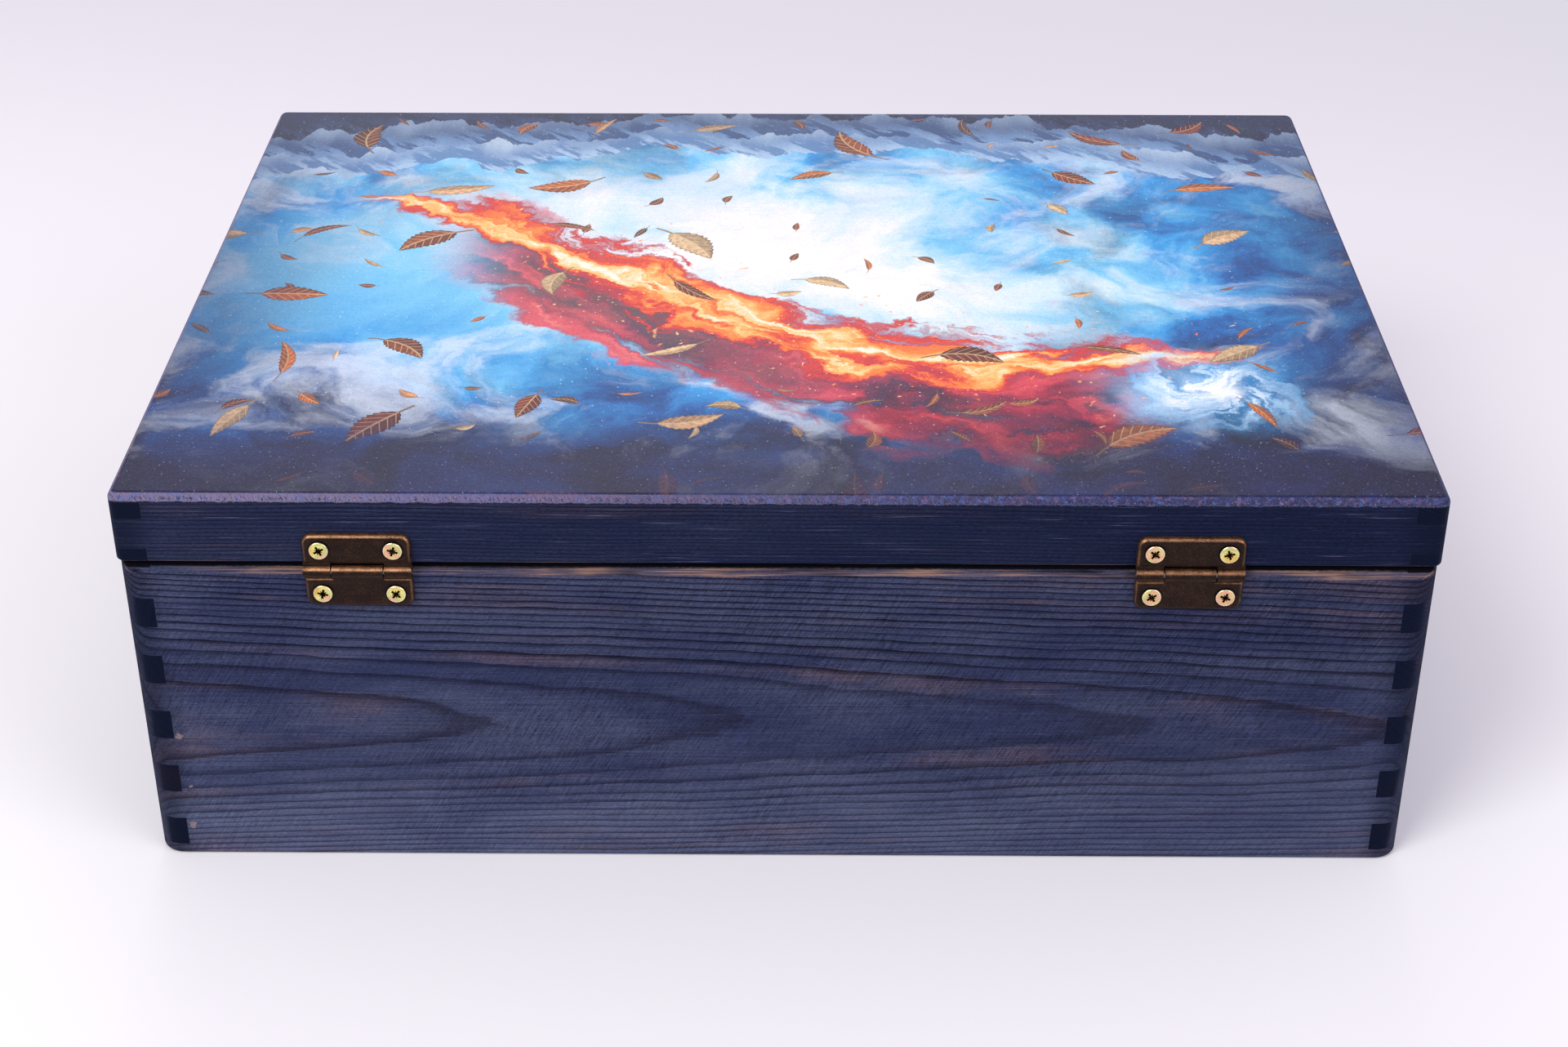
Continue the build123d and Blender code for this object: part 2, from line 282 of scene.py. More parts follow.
# soft studio: a pale sweep, a large key lamp on the left of the picture, a weaker fill on the right
# and a lamp for the far side; the room and the sweep look pale to the eye without lighting the box more
studio = {
    "floorSize": 14.0,
    "floorTone": "#f6f4f7",
    "floorRough": 0.9,
    "floorUnderLamp": "#e0dde5",
    "lampSpots": [
        {"place": (1.05, 1.15, 0.0), "reach": (1.25, 0.5)},
        {"place": (0.0, -1.1, 0.0), "reach": (1.15, 0.4)},
    ],
    "fadeCentre": (0.3, 0.1, 0.0),
    "floorFade": (0.42, 1.3),
    "roomLight": "#ebe3ef",
    "roomSeen": "#dcd8e3",
    "worldLevel": 0.74,
    "lamps": {
        "keyLamp": {"place": (1.3, 1.5, 1.9), "size": 1.4, "watts": 36.5, "colour": "#fdfff8"},
        "fillLamp": {"place": (-1.6, 1.3, 1.2), "size": 1.6, "watts": 16.0, "colour": "#f4f7ff"},
        "frontLamp": {"place": (0.2, -1.8, 1.7), "size": 1.6, "watts": 11.0, "colour": "#ffffff"},
    },
    "aim": (0.0, 0.0, 0.06),
}
for name, lamp in studio["lamps"].items():
    light = bpy.data.lights.new(name, "AREA")
    light.shape = "DISK"
    light.size = lamp["size"]
    light.energy = lamp["watts"]
    light.color = paint(lamp["colour"])[:3]
    holder = addObject(name, light)
    holder.location = lamp["place"]
    holder.rotation_euler = turnTowards(Vector(studio["aim"]) - Vector(lamp["place"]))

world = bpy.data.worlds.new("paleRoom")
bpy.context.scene.world = world
world.use_nodes = True
bench["tree"] = world.node_tree
seen = seenByEye()
wire(world.node_tree.nodes["Background"].inputs, {
    "Strength": mixValue(seen, studio["worldLevel"], 1.0),
    "Color": mixColor(seen, studio["roomLight"], studio["roomSeen"]),
})

half = studio["floorSize"] / 2
floorMesh = bpy.data.meshes.new("floor")
corners = [(-half, -half, 0), (half, -half, 0), (half, half, 0), (-half, half, 0)]
floorMesh.from_pydata(corners, [], [(0, 1, 2, 3)])
floor = addObject("floor", floorMesh)
floorPaint, shader = newMaterial("palePaper", {"Roughness": studio["floorRough"]})
spot = addNode("TexCoord").outputs["Object"]
paper = studio["floorTone"]
for lampSpot in studio["lampSpots"]:  # a little darker under the lamps, so that the paper keeps its tone
    underLamp = smooth(awayFrom(spot, lampSpot["place"]), *lampSpot["reach"])
    paper = mixColor(underLamp, paper, studio["floorUnderLamp"])
plug(paper, shader.inputs["Base Color"])
haze = addNode("Emission", {"Color": studio["roomSeen"]}).outputs[0]
fade = times(smooth(awayFrom(spot, studio["fadeCentre"]), *studio["floorFade"]), seenByEye())
faded = addNode("MixShader", {0: fade, 1: shader.outputs[0], 2: haze}).outputs[0]
plug(faded, floorPaint.node_tree.nodes["Material Output"].inputs["Surface"])
floorMesh.materials.append(floorPaint)
print("camera and studio placed")

# growth rings of a sawn pine board: rings round a pith line that leans through the board
ringLook = {
    "drift": (0.0065, 0.011),  # slow wander of the rings, along and across
    "driftNoise": {"detail": 3.0, "out": "Color"},
    "feather": (0.08, 0.75),  # ragged edge of each line, along and across
    "featherNoise": {"detail": 2.0},
    "feathering": 0.55,
    "uneven": 0.4,  # wide and narrow years
    "unevenNoise": {"detail": 1.0},
    "unevenBy": 0.7,
    "steep": (0.0, 0.55),  # 0 where the rings lie flat in the board
    "lateSets": (0.3, 0.94),  # the part of a year in which the late wood darkens
    "lateSharp": (4.4, 1.7),  # how sharply it does, where rings lie flat and where they stand steep
    "lateEnds": (1.0, 0.92),
    "faintYears": (-0.9, 0.5),
}
pineRings, given, result = newGroup("pineRings", {
    "Along": 0.0, "Across": 0.0, "Depth": 0.0, "Pith Across": 0.0, "Pith Depth": 0.0, "Tilt": 0.0,
    "Ring Width": 3.0, "Narrowing": 0.28, "Narrow From": 54.0, "Wander": 2.0, "Seed": 0.0,
}, {"Late": "Float", "Ring Tone": "Float", "Steep": "Float"})
slow = stretched(given["Along"], given["Across"], ringLook["drift"], given["Seed"])
drift = axesOf(noise(slow, **ringLook["driftNoise"]))
shift = [times(minus(drift[n], 0.5), given["Wander"]) for n in range(2)]
across = plus(minus(given["Across"], given["Pith Across"]), shift[0])
lean = timesPlus(given["Along"], given["Tilt"], minus(given["Depth"], given["Pith Depth"]))
away = lengthOf(joinXyz(across, plus(lean, shift[1])))
ragged = timesPlus(given["Depth"], ringLook["feather"][1], given["Seed"])
feather = stretched(given["Along"], given["Across"], ringLook["feather"], ragged)
feather = noise(feather, **ringLook["featherNoise"])
away = timesPlus(feather, ringLook["feathering"], away)
outer = biggest(minus(away, given["Narrow From"]), 0.0)
years = timesPlus(outer, given["Narrowing"], over(away, given["Ring Width"]))
uneven = noise(joinXyz(times(years, ringLook["uneven"]), given["Seed"]), **ringLook["unevenNoise"])
years = timesPlus(uneven, ringLook["unevenBy"], years)
season = calc("FRACT", years)
yearDraw = addNode("TexWhiteNoise", {"W": plus(wholePart(years), given["Seed"])}, noise_dimensions="1D")
yearTone = yearDraw.outputs["Value"]
steep = smooth(over(absolute(across), away), *ringLook["steep"])
late = power(smooth(season, *ringLook["lateSets"]), mixValue(steep, *ringLook["lateSharp"]))
late = times(late, smooth(season, *ringLook["lateEnds"]), smooth(yearTone, *ringLook["faintYears"]))
wire(result, {"Late": late, "Ring Tone": yearTone, "Steep": steep})

# fibres along the board: long streaks, and short flecks with open pores
fibreLook = {
    "Streak": {"stretch": 0.03, "fine": 1.5, "grain": {"detail": 4.0, "rough": 0.66}},
    "Fleck": {"stretch": 0.7, "fine": 3.2, "grain": {"detail": 3.0, "rough": 0.66}},
}
woodFibre, given, result = newGroup("woodFibre", {
    "Along": 0.0, "Across": 0.0, "Depth": 0.0, "Seed": 0.0,
}, {"Streak": "Float", "Fleck": "Float"})
for label, look in fibreLook.items():
    lengthwise = timesPlus(given["Along"], look["stretch"], given["Seed"])
    line = joinXyz(lengthwise, times(given["Across"], look["fine"]), times(given["Depth"], look["fine"]))
    plug(noise(line, **look["grain"]), result[label])

# short marks of a sanding block, all at one slant, where the stain settled darker
sandLook = {
    "scratch": (0.13, 2.7),  # long and narrow, along and across the slant
    "scratchNoise": {"detail": 3.0, "rough": 0.7},
    "scratchTone": (0.34, 0.66, -0.28, 0.44),
    "patch": (0.012, 0.018),
    "patchNoise": {"detail": 2.0},
    "patchShare": (0.36, 0.6, 0.4, 1.0),
}
sandMarks, given, result = newGroup("sandMarks", {
    "U": 0.0, "V": 0.0, "Angle": 1.0, "Seed": 0.0,
}, {"Marks": "Float"})
cosine, sine = cosineOf(given["Angle"]), sineOf(given["Angle"])
lengthwise = plus(times(given["U"], cosine), times(given["V"], sine))
crosswise = minus(times(given["V"], cosine), times(given["U"], sine))
line = stretched(lengthwise, crosswise, sandLook["scratch"], given["Seed"])
hit = smooth(noise(line, **sandLook["scratchNoise"]), *sandLook["scratchTone"])
patch = noise(stretched(given["U"], given["V"], sandLook["patch"], given["Seed"]), **sandLook["patchNoise"])
plug(times(hit, smooth(patch, *sandLook["patchShare"])), result["Marks"])
print("shared wood patterns built")

# what the boards of a kind share: the way the rim faces, how the late wood and the sanding show,
# how much paler the foot is (partly lighter wood, partly painted bounce light from the floor), and from which
# slope the rim is sanded bare
bodyBoard = {"rim": 1.0, "dashes": 0.08, "foot": 0.3, "lateShare": 1.0, "sandedFrom": (0.86, 0.96)}
lidRail = {"rim": -1.0, "dashes": 0.4, "foot": 0.0, "lateShare": 0.76, "sandedFrom": (0.5, 0.68)}

# every board has its own place in the tree: where the pith lies, how it leans, how wide the rings are;
# dark is its darker stain with painted shade, at its +X or +Y end and at the other; a chip has its place
# along and up the board and its size
boardLooks = {
    "back_board": bodyBoard | {
        "grain": "X", "side": 1.0, "pith": (53.0, 101.86), "tilt": -0.028, "ring": 2.6, "wander": 5.0,
        "seed": 3.1, "dark": (0.0, 0.22), "scuff": 1.0, "sandedFrom": (0.5, 0.68),
        "chips": [(188.6, 46.6, 1.3), (188.2, 11.6, 1.5), (187.0, 27.0, 0.7)]},
    "front_board": bodyBoard | {
        "grain": "X", "side": -1.0, "pith": (66.0, -108.0), "tilt": 0.022, "ring": 2.8, "wander": 6.0,
        "seed": 17.4, "dark": (0.05, 0.1), "scuff": 0.8},
    "left_board": bodyBoard | {
        "grain": "Y", "side": -1.0, "pith": (30.0, -162.0), "tilt": 0.025, "ring": 2.6, "wander": 6.0,
        "seed": 29.9, "dark": (0.1, 0.15), "scuff": 0.6},
    "right_board": bodyBoard | {
        "grain": "Y", "side": 1.0, "pith": (84.0, 158.0), "tilt": -0.022, "ring": 2.7, "wander": 5.0,
        "seed": 41.2, "dark": (0.0, 0.1), "scuff": 0.8},
    "lid_back_rail": lidRail | {
        "grain": "X", "side": 1.0, "pith": (184.0, 122.0), "tilt": 0.01, "ring": 1.9, "wander": 4.0,
        "seed": 53.7, "dark": (0.62, 0.95), "scuff": 0.35},
    "lid_front_rail": lidRail | {
        "grain": "X", "side": -1.0, "pith": (70.0, -120.0), "tilt": -0.01, "ring": 2.0, "wander": 4.0,
        "seed": 67.3, "dark": (0.6, 0.6), "scuff": 0.35},
    "lid_left_rail": lidRail | {
        "grain": "Y", "side": -1.0, "pith": (66.0, -160.0), "tilt": 0.02, "ring": 2.0, "wander": 4.0,
        "seed": 71.8, "dark": (0.6, 0.7), "scuff": 0.35},
    "lid_right_rail": lidRail | {
        "grain": "Y", "side": 1.0, "pith": (190.0, 170.0), "tilt": 0.012, "ring": 1.9, "wander": 4.0,
        "seed": 83.5, "dark": (0.7, 0.6), "scuff": 0.35},
}
stain = {
    "early": "#252c4d", "pale": "#4a5069", "late": "#070b20", "lateFlat": "#1c1a2c", "brown": "#5f4d54",
    "deepStainAndShade": "#101833", "scuff": "#8683a0", "end": "#040a1c", "endRing": "#081026", "endBrown": "#15111d",
    "chip": "#85777a", "bareEarly": "#dcbb8a", "bareLate": "#bd8f58", "rim": "#907062", "rimDim": "#645660",
    "paintedGapShade": "#05070f", "corner": "#070d22",
}

# stained pine, in one group for all boards: cloudy sanding, brown where the stain is thin, dark late wood,
# then fibres and sanding marks; next to it the bare wood of the inside, and the end grain, which drinks stain
pineLook = {
    "sandingSlant": -1.05,
    "clouds": (0.017, 0.05),
    "cloudNoise": {"detail": 4.0, "rough": 0.6, "out": "Color"},
    "paleStreaks": 0.35,
    "pale": (0.5, 0.86, 0.16, 0.66),
    "paleAndBounceLitFoot": (50.0, 5.0, 0.0, 0.5),
    "thinCloud": (0.44, 0.66),
    "thinYear": (0.2, 1.0),
    "thinStreak": (0.36, 0.58, 0.3, 1.0),
    "thinBy": 0.54,
    # where along a board the darker stain and the painted shade begin and where they are full
    "stainAndShadeRun": (190.0, -190.0),
    "lateBy": (0.7, 0.95),  # where rings lie flat and where they stand steep
    "lateAboveFoot": (20.0, 60.0),
    "streakLevel": (0.3, 0.7, 0.88, 1.16),
    "fleckLevel": (0.3, 0.7, -0.34, 0.34),
    "footBounceLevel": (48.0, 4.0),
    "fleckDashes": (0.66, 0.8, 0.0, 0.3),
    "streakDashes": (0.6, 0.74),
    "endClouds": (0.52, 0.7, 0.0, 0.5),
    "bareLateBy": 0.7,
    "bareStreak": (0.3, 0.7, 0.9, 1.06),
    "roughness": (0.0, 1.0, 0.7, 0.55),
    "relief": {"streak": 0.7, "late": 0.6, "fleck": 0.5, "marks": 0.35},
    "patchyCloud": 0.8,
}
stainedPine, given, result = newGroup("stainedPine", {
    "Along": 0.0, "Across": 0.0, "Depth": 0.0, "Pith Across": 0.0, "Pith Depth": 0.0, "Tilt": 0.0,
    "Ring Width": 2.6, "Wander": 4.0, "Seed": 0.0, "Dark Stain And Shade Near": 0.0, "Dark Stain And Shade Far": 0.0, "Scuff": 1.0,
    "Dashes": 0.1, "Foot": 0.0, "Late Share": 1.0,
}, {"Face": "Color", "Bare": "Color", "End": "Color", "Roughness": "Float", "Height": "Float",
    "Fleck": "Float", "Cloud": "Float", "Patchy": "Float"})
along, across, foot = given["Along"], given["Across"], given["Foot"]
rings = useGroup(pineRings, {key: given[key] for key in (
    "Along", "Across", "Depth", "Pith Across", "Pith Depth", "Tilt", "Ring Width", "Wander", "Seed")})
fibre = useGroup(woodFibre, {key: given[key] for key in ("Along", "Across", "Depth", "Seed")})
marks = useGroup(sandMarks, {
    "U": along, "V": across, "Angle": pineLook["sandingSlant"], "Seed": given["Seed"]})["Marks"]
clouds = axesOf(noise(stretched(along, across, pineLook["clouds"], given["Seed"]), **pineLook["cloudNoise"]))

# paler clouds of sanding, and paler towards the foot: there partly lighter wood, partly painted bounce light
# from the floor
pale = plus(clouds[0], times(fibre["Streak"], pineLook["paleStreaks"]))
pale = plus(smooth(pale, *pineLook["pale"]), smooth(across, *pineLook["paleAndBounceLitFoot"]))
face = mixColor(smallest(pale, 1.0), stain["early"], stain["pale"])
thin = times(smooth(clouds[1], *pineLook["thinCloud"]), smooth(rings["Ring Tone"], *pineLook["thinYear"]),
             smooth(fibre["Streak"], *pineLook["thinStreak"]), pineLook["thinBy"])
face = mixColor(thin, face, stain["brown"])
# each board's darker stain, with painted shade that deepens along it where less light falls
darkerStainAndShade = smooth(along, *pineLook["stainAndShadeRun"], given["Dark Stain And Shade Near"], given["Dark Stain And Shade Far"])
face = mixColor(darkerStainAndShade, face, stain["deepStainAndShade"])
lateTone = mixColor(rings["Steep"], stain["lateFlat"], stain["late"])
lateDepth = times(rings["Late"], mixValue(rings["Steep"], *pineLook["lateBy"]), given["Late Share"],
                  smooth(across, *pineLook["lateAboveFoot"], minus(1.0, foot), 1.0))
face = mixColor(lateDepth, face, lateTone)
level = plus(smooth(fibre["Streak"], *pineLook["streakLevel"]),
             smooth(fibre["Fleck"], *pineLook["fleckLevel"]))
level = minus(level, times(marks, given["Scuff"]))
# brighter near the foot: lighter wood with painted bounce light from the floor
level = plus(level, smooth(across, *pineLook["footBounceLevel"], 0.0, foot))
dashes = plus(smooth(fibre["Fleck"], *pineLook["fleckDashes"]),
              smooth(fibre["Streak"], *pineLook["streakDashes"], 0.0, given["Dashes"]))
face = mixColor(dashes, scaled(face, level), stain["scuff"])

end = mixColor(rings["Late"], stain["endRing"], stain["end"])
end = mixColor(smooth(clouds[2], *pineLook["endClouds"]), end, stain["endBrown"])
bare = mixColor(times(rings["Late"], pineLook["bareLateBy"]), stain["bareEarly"], stain["bareLate"])
bare = scaled(bare, smooth(fibre["Streak"], *pineLook["bareStreak"]))
relief = pineLook["relief"]
height = minus(times(fibre["Streak"], relief["streak"]), times(rings["Late"], relief["late"]))
height = plus(height, times(fibre["Fleck"], relief["fleck"]))
height = minus(height, times(marks, relief["marks"]))
patchy = plus(fibre["Streak"], times(clouds[2], pineLook["patchyCloud"]))
wire(result, {
    "Face": face, "Bare": bare, "End": end, "Roughness": smooth(rings["Late"], *pineLook["roughness"]),
    "Height": height, "Fleck": fibre["Fleck"], "Cloud": clouds[1], "Patchy": patchy,
})

# the edges of a stained board, with lengths in millimetres
boardEdges = {
    "chipNoise": {"scale": 0.9, "detail": 3.0},
    "chipRagged": 3.2,
    "chipEdge": (1.5, 1.1),
    "rimDim": (0.74, 0.94, 0.0, 0.6),
    "rimBright": (0.9, 1.06, 0.0, 0.95),
    "cornerInset": {"X": (16.0, 4.0), "Y": (14.0, 3.0)},  # darker towards the rounded corners
    "cornerRagged": 8.0,
    "cornerBy": 0.62,
    "inside": (-0.5, -0.8),
    "endGrain": (0.75, 0.92),
    "arrisUnderRim": (4.7, 3.5),  # the sanding ran over the arris of the long bevel
    "arrisCloud": (5.0, -2.9),
    "arrisFleck": 1.6,
    "arrisOutward": (0.5, 0.7),
    "shadeUnderRim": (2.5, 1.8),  # and painted shade along the bevel's top, under the lid's edge
    "shadeFleck": 0.8,
    "shadeSlope": (0.95, 0.85),
    "fingerInset": (4.0, 3.0),  # the uppermost back fingers, under the lid's edge, get the same painted shade
    "fingerUnderRim": (2.6, 2.2),
    "gloss": 0.05,
    "bump": (0.6, 0.0003),
    "ease": 0.00022,
}


def insetFrom(size, insets):
    return [size - inset for inset in insets]


def boardMaterial(name, look):
    material, shader = newMaterial(name + "Wood", {"Specular IOR Level": boardEdges["gloss"]})
    place, axes, facing = objectPlace()
    lengthAxis, depthAxis = (0, 1) if look["grain"] == "X" else (1, 0)
    along, across = axes[lengthAxis], axes[2]
    outward = times(facing[depthAxis], look["side"])
    pine = useGroup(stainedPine, {
        "Along": along, "Across": across, "Depth": axes[depthAxis],
        "Pith Across": look["pith"][0], "Pith Depth": look["pith"][1], "Tilt": look["tilt"],
        "Ring Width": look["ring"], "Wander": look["wander"], "Seed": look["seed"],
        "Dark Stain And Shade Near": look["dark"][0], "Dark Stain And Shade Far": look["dark"][1], "Scuff": look["scuff"],
        "Dashes": look["dashes"], "Foot": look["foot"], "Late Share": look["lateShare"],
    })
    face = pine["Face"]
    for chipAlong, chipAcross, size in look.get("chips", []):
        fromChip = lengthOf(joinXyz(minus(along, chipAlong), minus(across, chipAcross)))
        fromChip = plus(fromChip, times(noise(place, **boardEdges["chipNoise"]), boardEdges["chipRagged"]))
        chipEdge = [size + extra for extra in boardEdges["chipEdge"]]
        face = mixColor(smooth(fromChip, *chipEdge), face, stain["chip"])

    rim = mixColor(smooth(pine["Patchy"], *boardEdges["rimDim"]), face, stain["rimDim"])
    rim = mixColor(smooth(pine["Patchy"], *boardEdges["rimBright"]), rim, stain["rim"])
    corner = insetFrom(boxHalf[look["grain"]], boardEdges["cornerInset"][look["grain"]])
    ragged = boardEdges["cornerRagged"]
    towardsCorner = timesPlus(pine["Cloud"], ragged, minus(absolute(along), ragged / 2))
    face = mixColor(smooth(towardsCorner, *corner, 0.0, boardEdges["cornerBy"]), face, stain["corner"])
    colour = mixColor(smooth(outward, *boardEdges["inside"]), face, pine["Bare"])
    sanded = smooth(times(facing[2], look["rim"]), *look["sandedFrom"])
    if name == "back_board":
        arris = insetFrom(bodyRim, boardEdges["arrisUnderRim"])
        frayed = plus(across, timesPlus(pine["Cloud"], *boardEdges["arrisCloud"]),
                      centred(pine["Fleck"], boardEdges["arrisFleck"]))
        frayed = times(smooth(frayed, *arris), smooth(outward, *boardEdges["arrisOutward"]))
        sanded = biggest(sanded, frayed)
        # painted shade: a dark band along the top of the bevel, where the lid's edge shades it
        shadeBand = insetFrom(bodyRim, boardEdges["shadeUnderRim"])
        shadeUnderLid = plus(across, centred(pine["Fleck"], boardEdges["shadeFleck"]))
        shadeUnderLid = times(smooth(shadeUnderLid, *shadeBand), smooth(facing[2], *boardEdges["shadeSlope"]))
        rim = mixColor(shadeUnderLid, rim, stain["paintedGapShade"])
    colour = mixColor(sanded, colour, rim)
    colour = mixColor(smooth(absolute(facing[lengthAxis]), *boardEdges["endGrain"]), colour, pine["End"])
    if name in ("left_board", "right_board"):
        # painted shade on the uppermost back fingers, under the lid's edge
        fingerTip = smooth(along, *insetFrom(boxHalf["Y"], boardEdges["fingerInset"]))
        upper = smooth(across, *insetFrom(bodyRim, boardEdges["fingerUnderRim"]))
        colour = mixColor(times(fingerTip, upper), colour, stain["paintedGapShade"])
    relief = bump(pine["Height"], *boardEdges["bump"])
    wire(shader.inputs, {"Base Color": colour, "Roughness": pine["Roughness"], "Normal": relief})
    return material


for name, look in boardLooks.items():
    dress(name, boardMaterial(name, look))
    easeEdges(nodes[name], boardEdges["ease"])
print("boards stained")

# leaves carried by the wind, one in some of the cells of a loose grid; lengths are shares of half a leaf
leafLook = {
    "loose": 0.42,
    "seedStep": 0.37,
    "tilt": (0.0, 1.0, 0.42, 1.0),  # how far the leaf has turned its side to the eye
    "bow": (0.0, 1.0, -0.28, 0.28),
    "tip": 0.8,
    "wide": 0.5,
    "taper": 0.2,
    "teeth": {"count": 5.5, "tall": 1.05, "cut": 0.34},
    "bladeEdge": (0.0, 0.035),
    "stalk": {"width": (0.055, 0.03), "end": (-1.5, -1.47), "start": (-0.9, -0.95)},
    "veins": {"count": 3.4, "slant": 3.2, "width": (0.09, 0.03), "midrib": (0.05, 0.02), "by": 0.5},
    "tones": [(0.0, "#5a2417"), (0.22, "#8f3a1c"), (0.45, "#c96a2a"), (0.62, "#e8c79a"), (0.8, "#6d3b25"),
              (1.0, "#a9552a")],
    "fold": (-0.08, 0.08, 0.0, 0.42),  # one half lies in the shade of the midrib
    "foldTone": "#2a1216",
    "mottle": {"scale": 0.5, "detail": 3.0},
    "mottleLevel": (0.3, 0.7, 0.75, 1.25),
    "veinTone": "#f3d3a0",
    "rim": (0.12, 0.02, 0.0, 0.55),
    "rimTone": "#1c0e14",
    "fullTurn": 6.28,  # every leaf lies its own way round
}
driftLeaves, given, result = newGroup("driftLeaves", {
    "Place": None, "Cell": 40.0, "Smallest": 6.0, "Largest": 11.0, "Share": 0.5, "Seed": 0.0,
}, {"Color": "Color", "Mask": "Float"})
grid = scaled(given["Place"], over(1.0, given["Cell"]))
grid = vecCalc("ADD", grid, joinXyz(given["Seed"], times(given["Seed"], leafLook["seedStep"])))
cells = cellsOf(grid, 1.0, leafLook["loose"])
draws = axesOf(cells["Color"])
more = axesOf(addNode("TexWhiteNoise", {"Vector": cells["Color"]}).outputs["Color"])
local = scaled(vecCalc("SUBTRACT", grid, cells["Position"]), given["Cell"])
spin = {"Vector": local, "Angle": times(draws[0], leafLook["fullTurn"])}
leaf = axesOf(addNode("VectorRotate", spin, rotation_type="Z_AXIS").outputs[0])
size = mixValue(draws[1], given["Smallest"], given["Largest"])
lengthwise = over(leaf[0], size)
squared = times(lengthwise, lengthwise)
bow = times(squared, smooth(more[1], *leafLook["bow"]))
sideways = over(plus(over(leaf[1], size), bow), smooth(more[0], *leafLook["tilt"]))
fromRib = absolute(sideways)
teeth = zigzag(times(lengthwise, leafLook["teeth"]["count"]), 0.5)
blade = times(power(biggest(minus(1.0, squared), 0.0), leafLook["tip"]),
              minus(leafLook["wide"], times(lengthwise, leafLook["taper"])),
              minus(leafLook["teeth"]["tall"], times(teeth, leafLook["teeth"]["cut"])))
inside = minus(blade, fromRib)
stalk = times(smooth(fromRib, *leafLook["stalk"]["width"]), smooth(lengthwise, *leafLook["stalk"]["end"]),
              smooth(lengthwise, *leafLook["stalk"]["start"]))
veins = leafLook["veins"]
ribs = zigzag(minus(times(lengthwise, veins["count"]), times(fromRib, veins["slant"])), 0.5)
ribs = biggest(smooth(ribs, *veins["width"]), smooth(fromRib, *veins["midrib"]))
leafTone = ramp(more[2], leafLook["tones"])
leafTone = mixColor(smooth(sideways, *leafLook["fold"]), leafTone, leafLook["foldTone"])
mottle = noise(given["Place"], **leafLook["mottle"])
leafTone = scaled(leafTone, smooth(mottle, *leafLook["mottleLevel"]))
leafTone = mixColor(times(ribs, veins["by"]), leafTone, leafLook["veinTone"])
leafTone = mixColor(smooth(inside, *leafLook["rim"]), leafTone, leafLook["rimTone"])
shape = biggest(smooth(inside, *leafLook["bladeEdge"]), stalk)
wire(result, {"Color": leafTone, "Mask": times(shape, lessThan(draws[2], given["Share"]))})

# printed panel: thin plywood with a picture of a stormy autumn sky, and a dark worn edge
panelLook = {
    "gloss": 0.17,
    "roughness": (0.36, 0.75),
    "streakRelief": 0.4,
    "speckleRelief": (0.0, 0.5),
    "sandRelief": (0.0, 0.8),
    "bump": (0.5, 0.0002),
}
printWood, shader = newMaterial("printedPly", {"Specular IOR Level": panelLook["gloss"]})
place, axes, facing = objectPlace()
flat = joinXyz(axes[0], axes[1])

# sky: a pale glow in warped cloud, clear on one side, with white puffs and dark storm clouds
sky = {
    "warp": {"amount": 46.0, "scale": 0.014, "detail": 5.0, "rough": 0.55},
    "glow": {"place": (26.0, -14.0), "wide": 1.4, "reach": (175.0, 0.0), "level": 0.72},
    "billow": {"scale": 0.02, "detail": 9.0, "rough": 0.58, "bend": 0.6},
    "billowLevel": (1.45, -0.41),
    "clearPlace": (146.0, 2.0, 0.0),
    "clearReach": (120.0, 20.0, 0.0, 0.75),
    "clearLevel": 0.55,
    "dusk": (0.0, 135.0, 0.0, 0.2),
    "tones": [(0.0, "#0b1330"), (0.14, "#12295c"), (0.3, "#165fa8"), (0.46, "#2f9add"), (0.62, "#79c8f0"),
              (0.8, "#cfe8f4"), (1.0, "#fff6f0")],
}
puffLook = {
    "offset": (300.0, 80.0, 0.0),
    "cloud": {"scale": 0.016, "detail": 8.0, "rough": 0.62, "bend": 1.2},
    "share": (0.47, 0.66, 0.0, 0.75),
    "awayFromClear": (10.0, 80.0, 0.5, 1.0),
    "tone": "#dbe6f5",
}
stormLook = {
    "offset": (-120.0, 410.0, 0.0),
    "cloud": {"scale": 0.013, "detail": 8.0, "rough": 0.6, "bend": 0.9},
    "share": (0.46, 0.64),
    "awayFromGlow": (30.0, 120.0),
    "awayFromClear": (30.0, 95.0, 0.25, 1.0),
    "by": 0.5,
    "tone": "#142a58",
}
drawn = warped(flat, **sky["warp"])
drawnAxes = axesOf(drawn)
glow = sky["glow"]
fromGlow = lengthOf(joinXyz(over(minus(drawnAxes[0], glow["place"][0]), glow["wide"]),
                            minus(drawnAxes[1], glow["place"][1])))
fromClear = awayFrom(drawn, sky["clearPlace"])
billow = noise(drawn, **sky["billow"])
level = times(smooth(fromGlow, *glow["reach"]), glow["level"])
level = plus(level, timesPlus(billow, *sky["billowLevel"]))
level = mixValue(smooth(fromClear, *sky["clearReach"]), level, sky["clearLevel"])
level = minus(level, smooth(axes[1], *sky["dusk"]))
picture = ramp(level, sky["tones"])
puffs = noise(vecCalc("ADD", drawn, puffLook["offset"]), **puffLook["cloud"])
puffs = times(smooth(puffs, *puffLook["share"]), smooth(fromClear, *puffLook["awayFromClear"]))
picture = mixColor(puffs, picture, puffLook["tone"])
storm = noise(vecCalc("ADD", drawn, stormLook["offset"]), **stormLook["cloud"])
storm = times(smooth(storm, *stormLook["share"]), smooth(fromGlow, *stormLook["awayFromGlow"]),
              smooth(fromClear, *stormLook["awayFromClear"]), stormLook["by"])
picture = mixColor(storm, picture, stormLook["tone"])

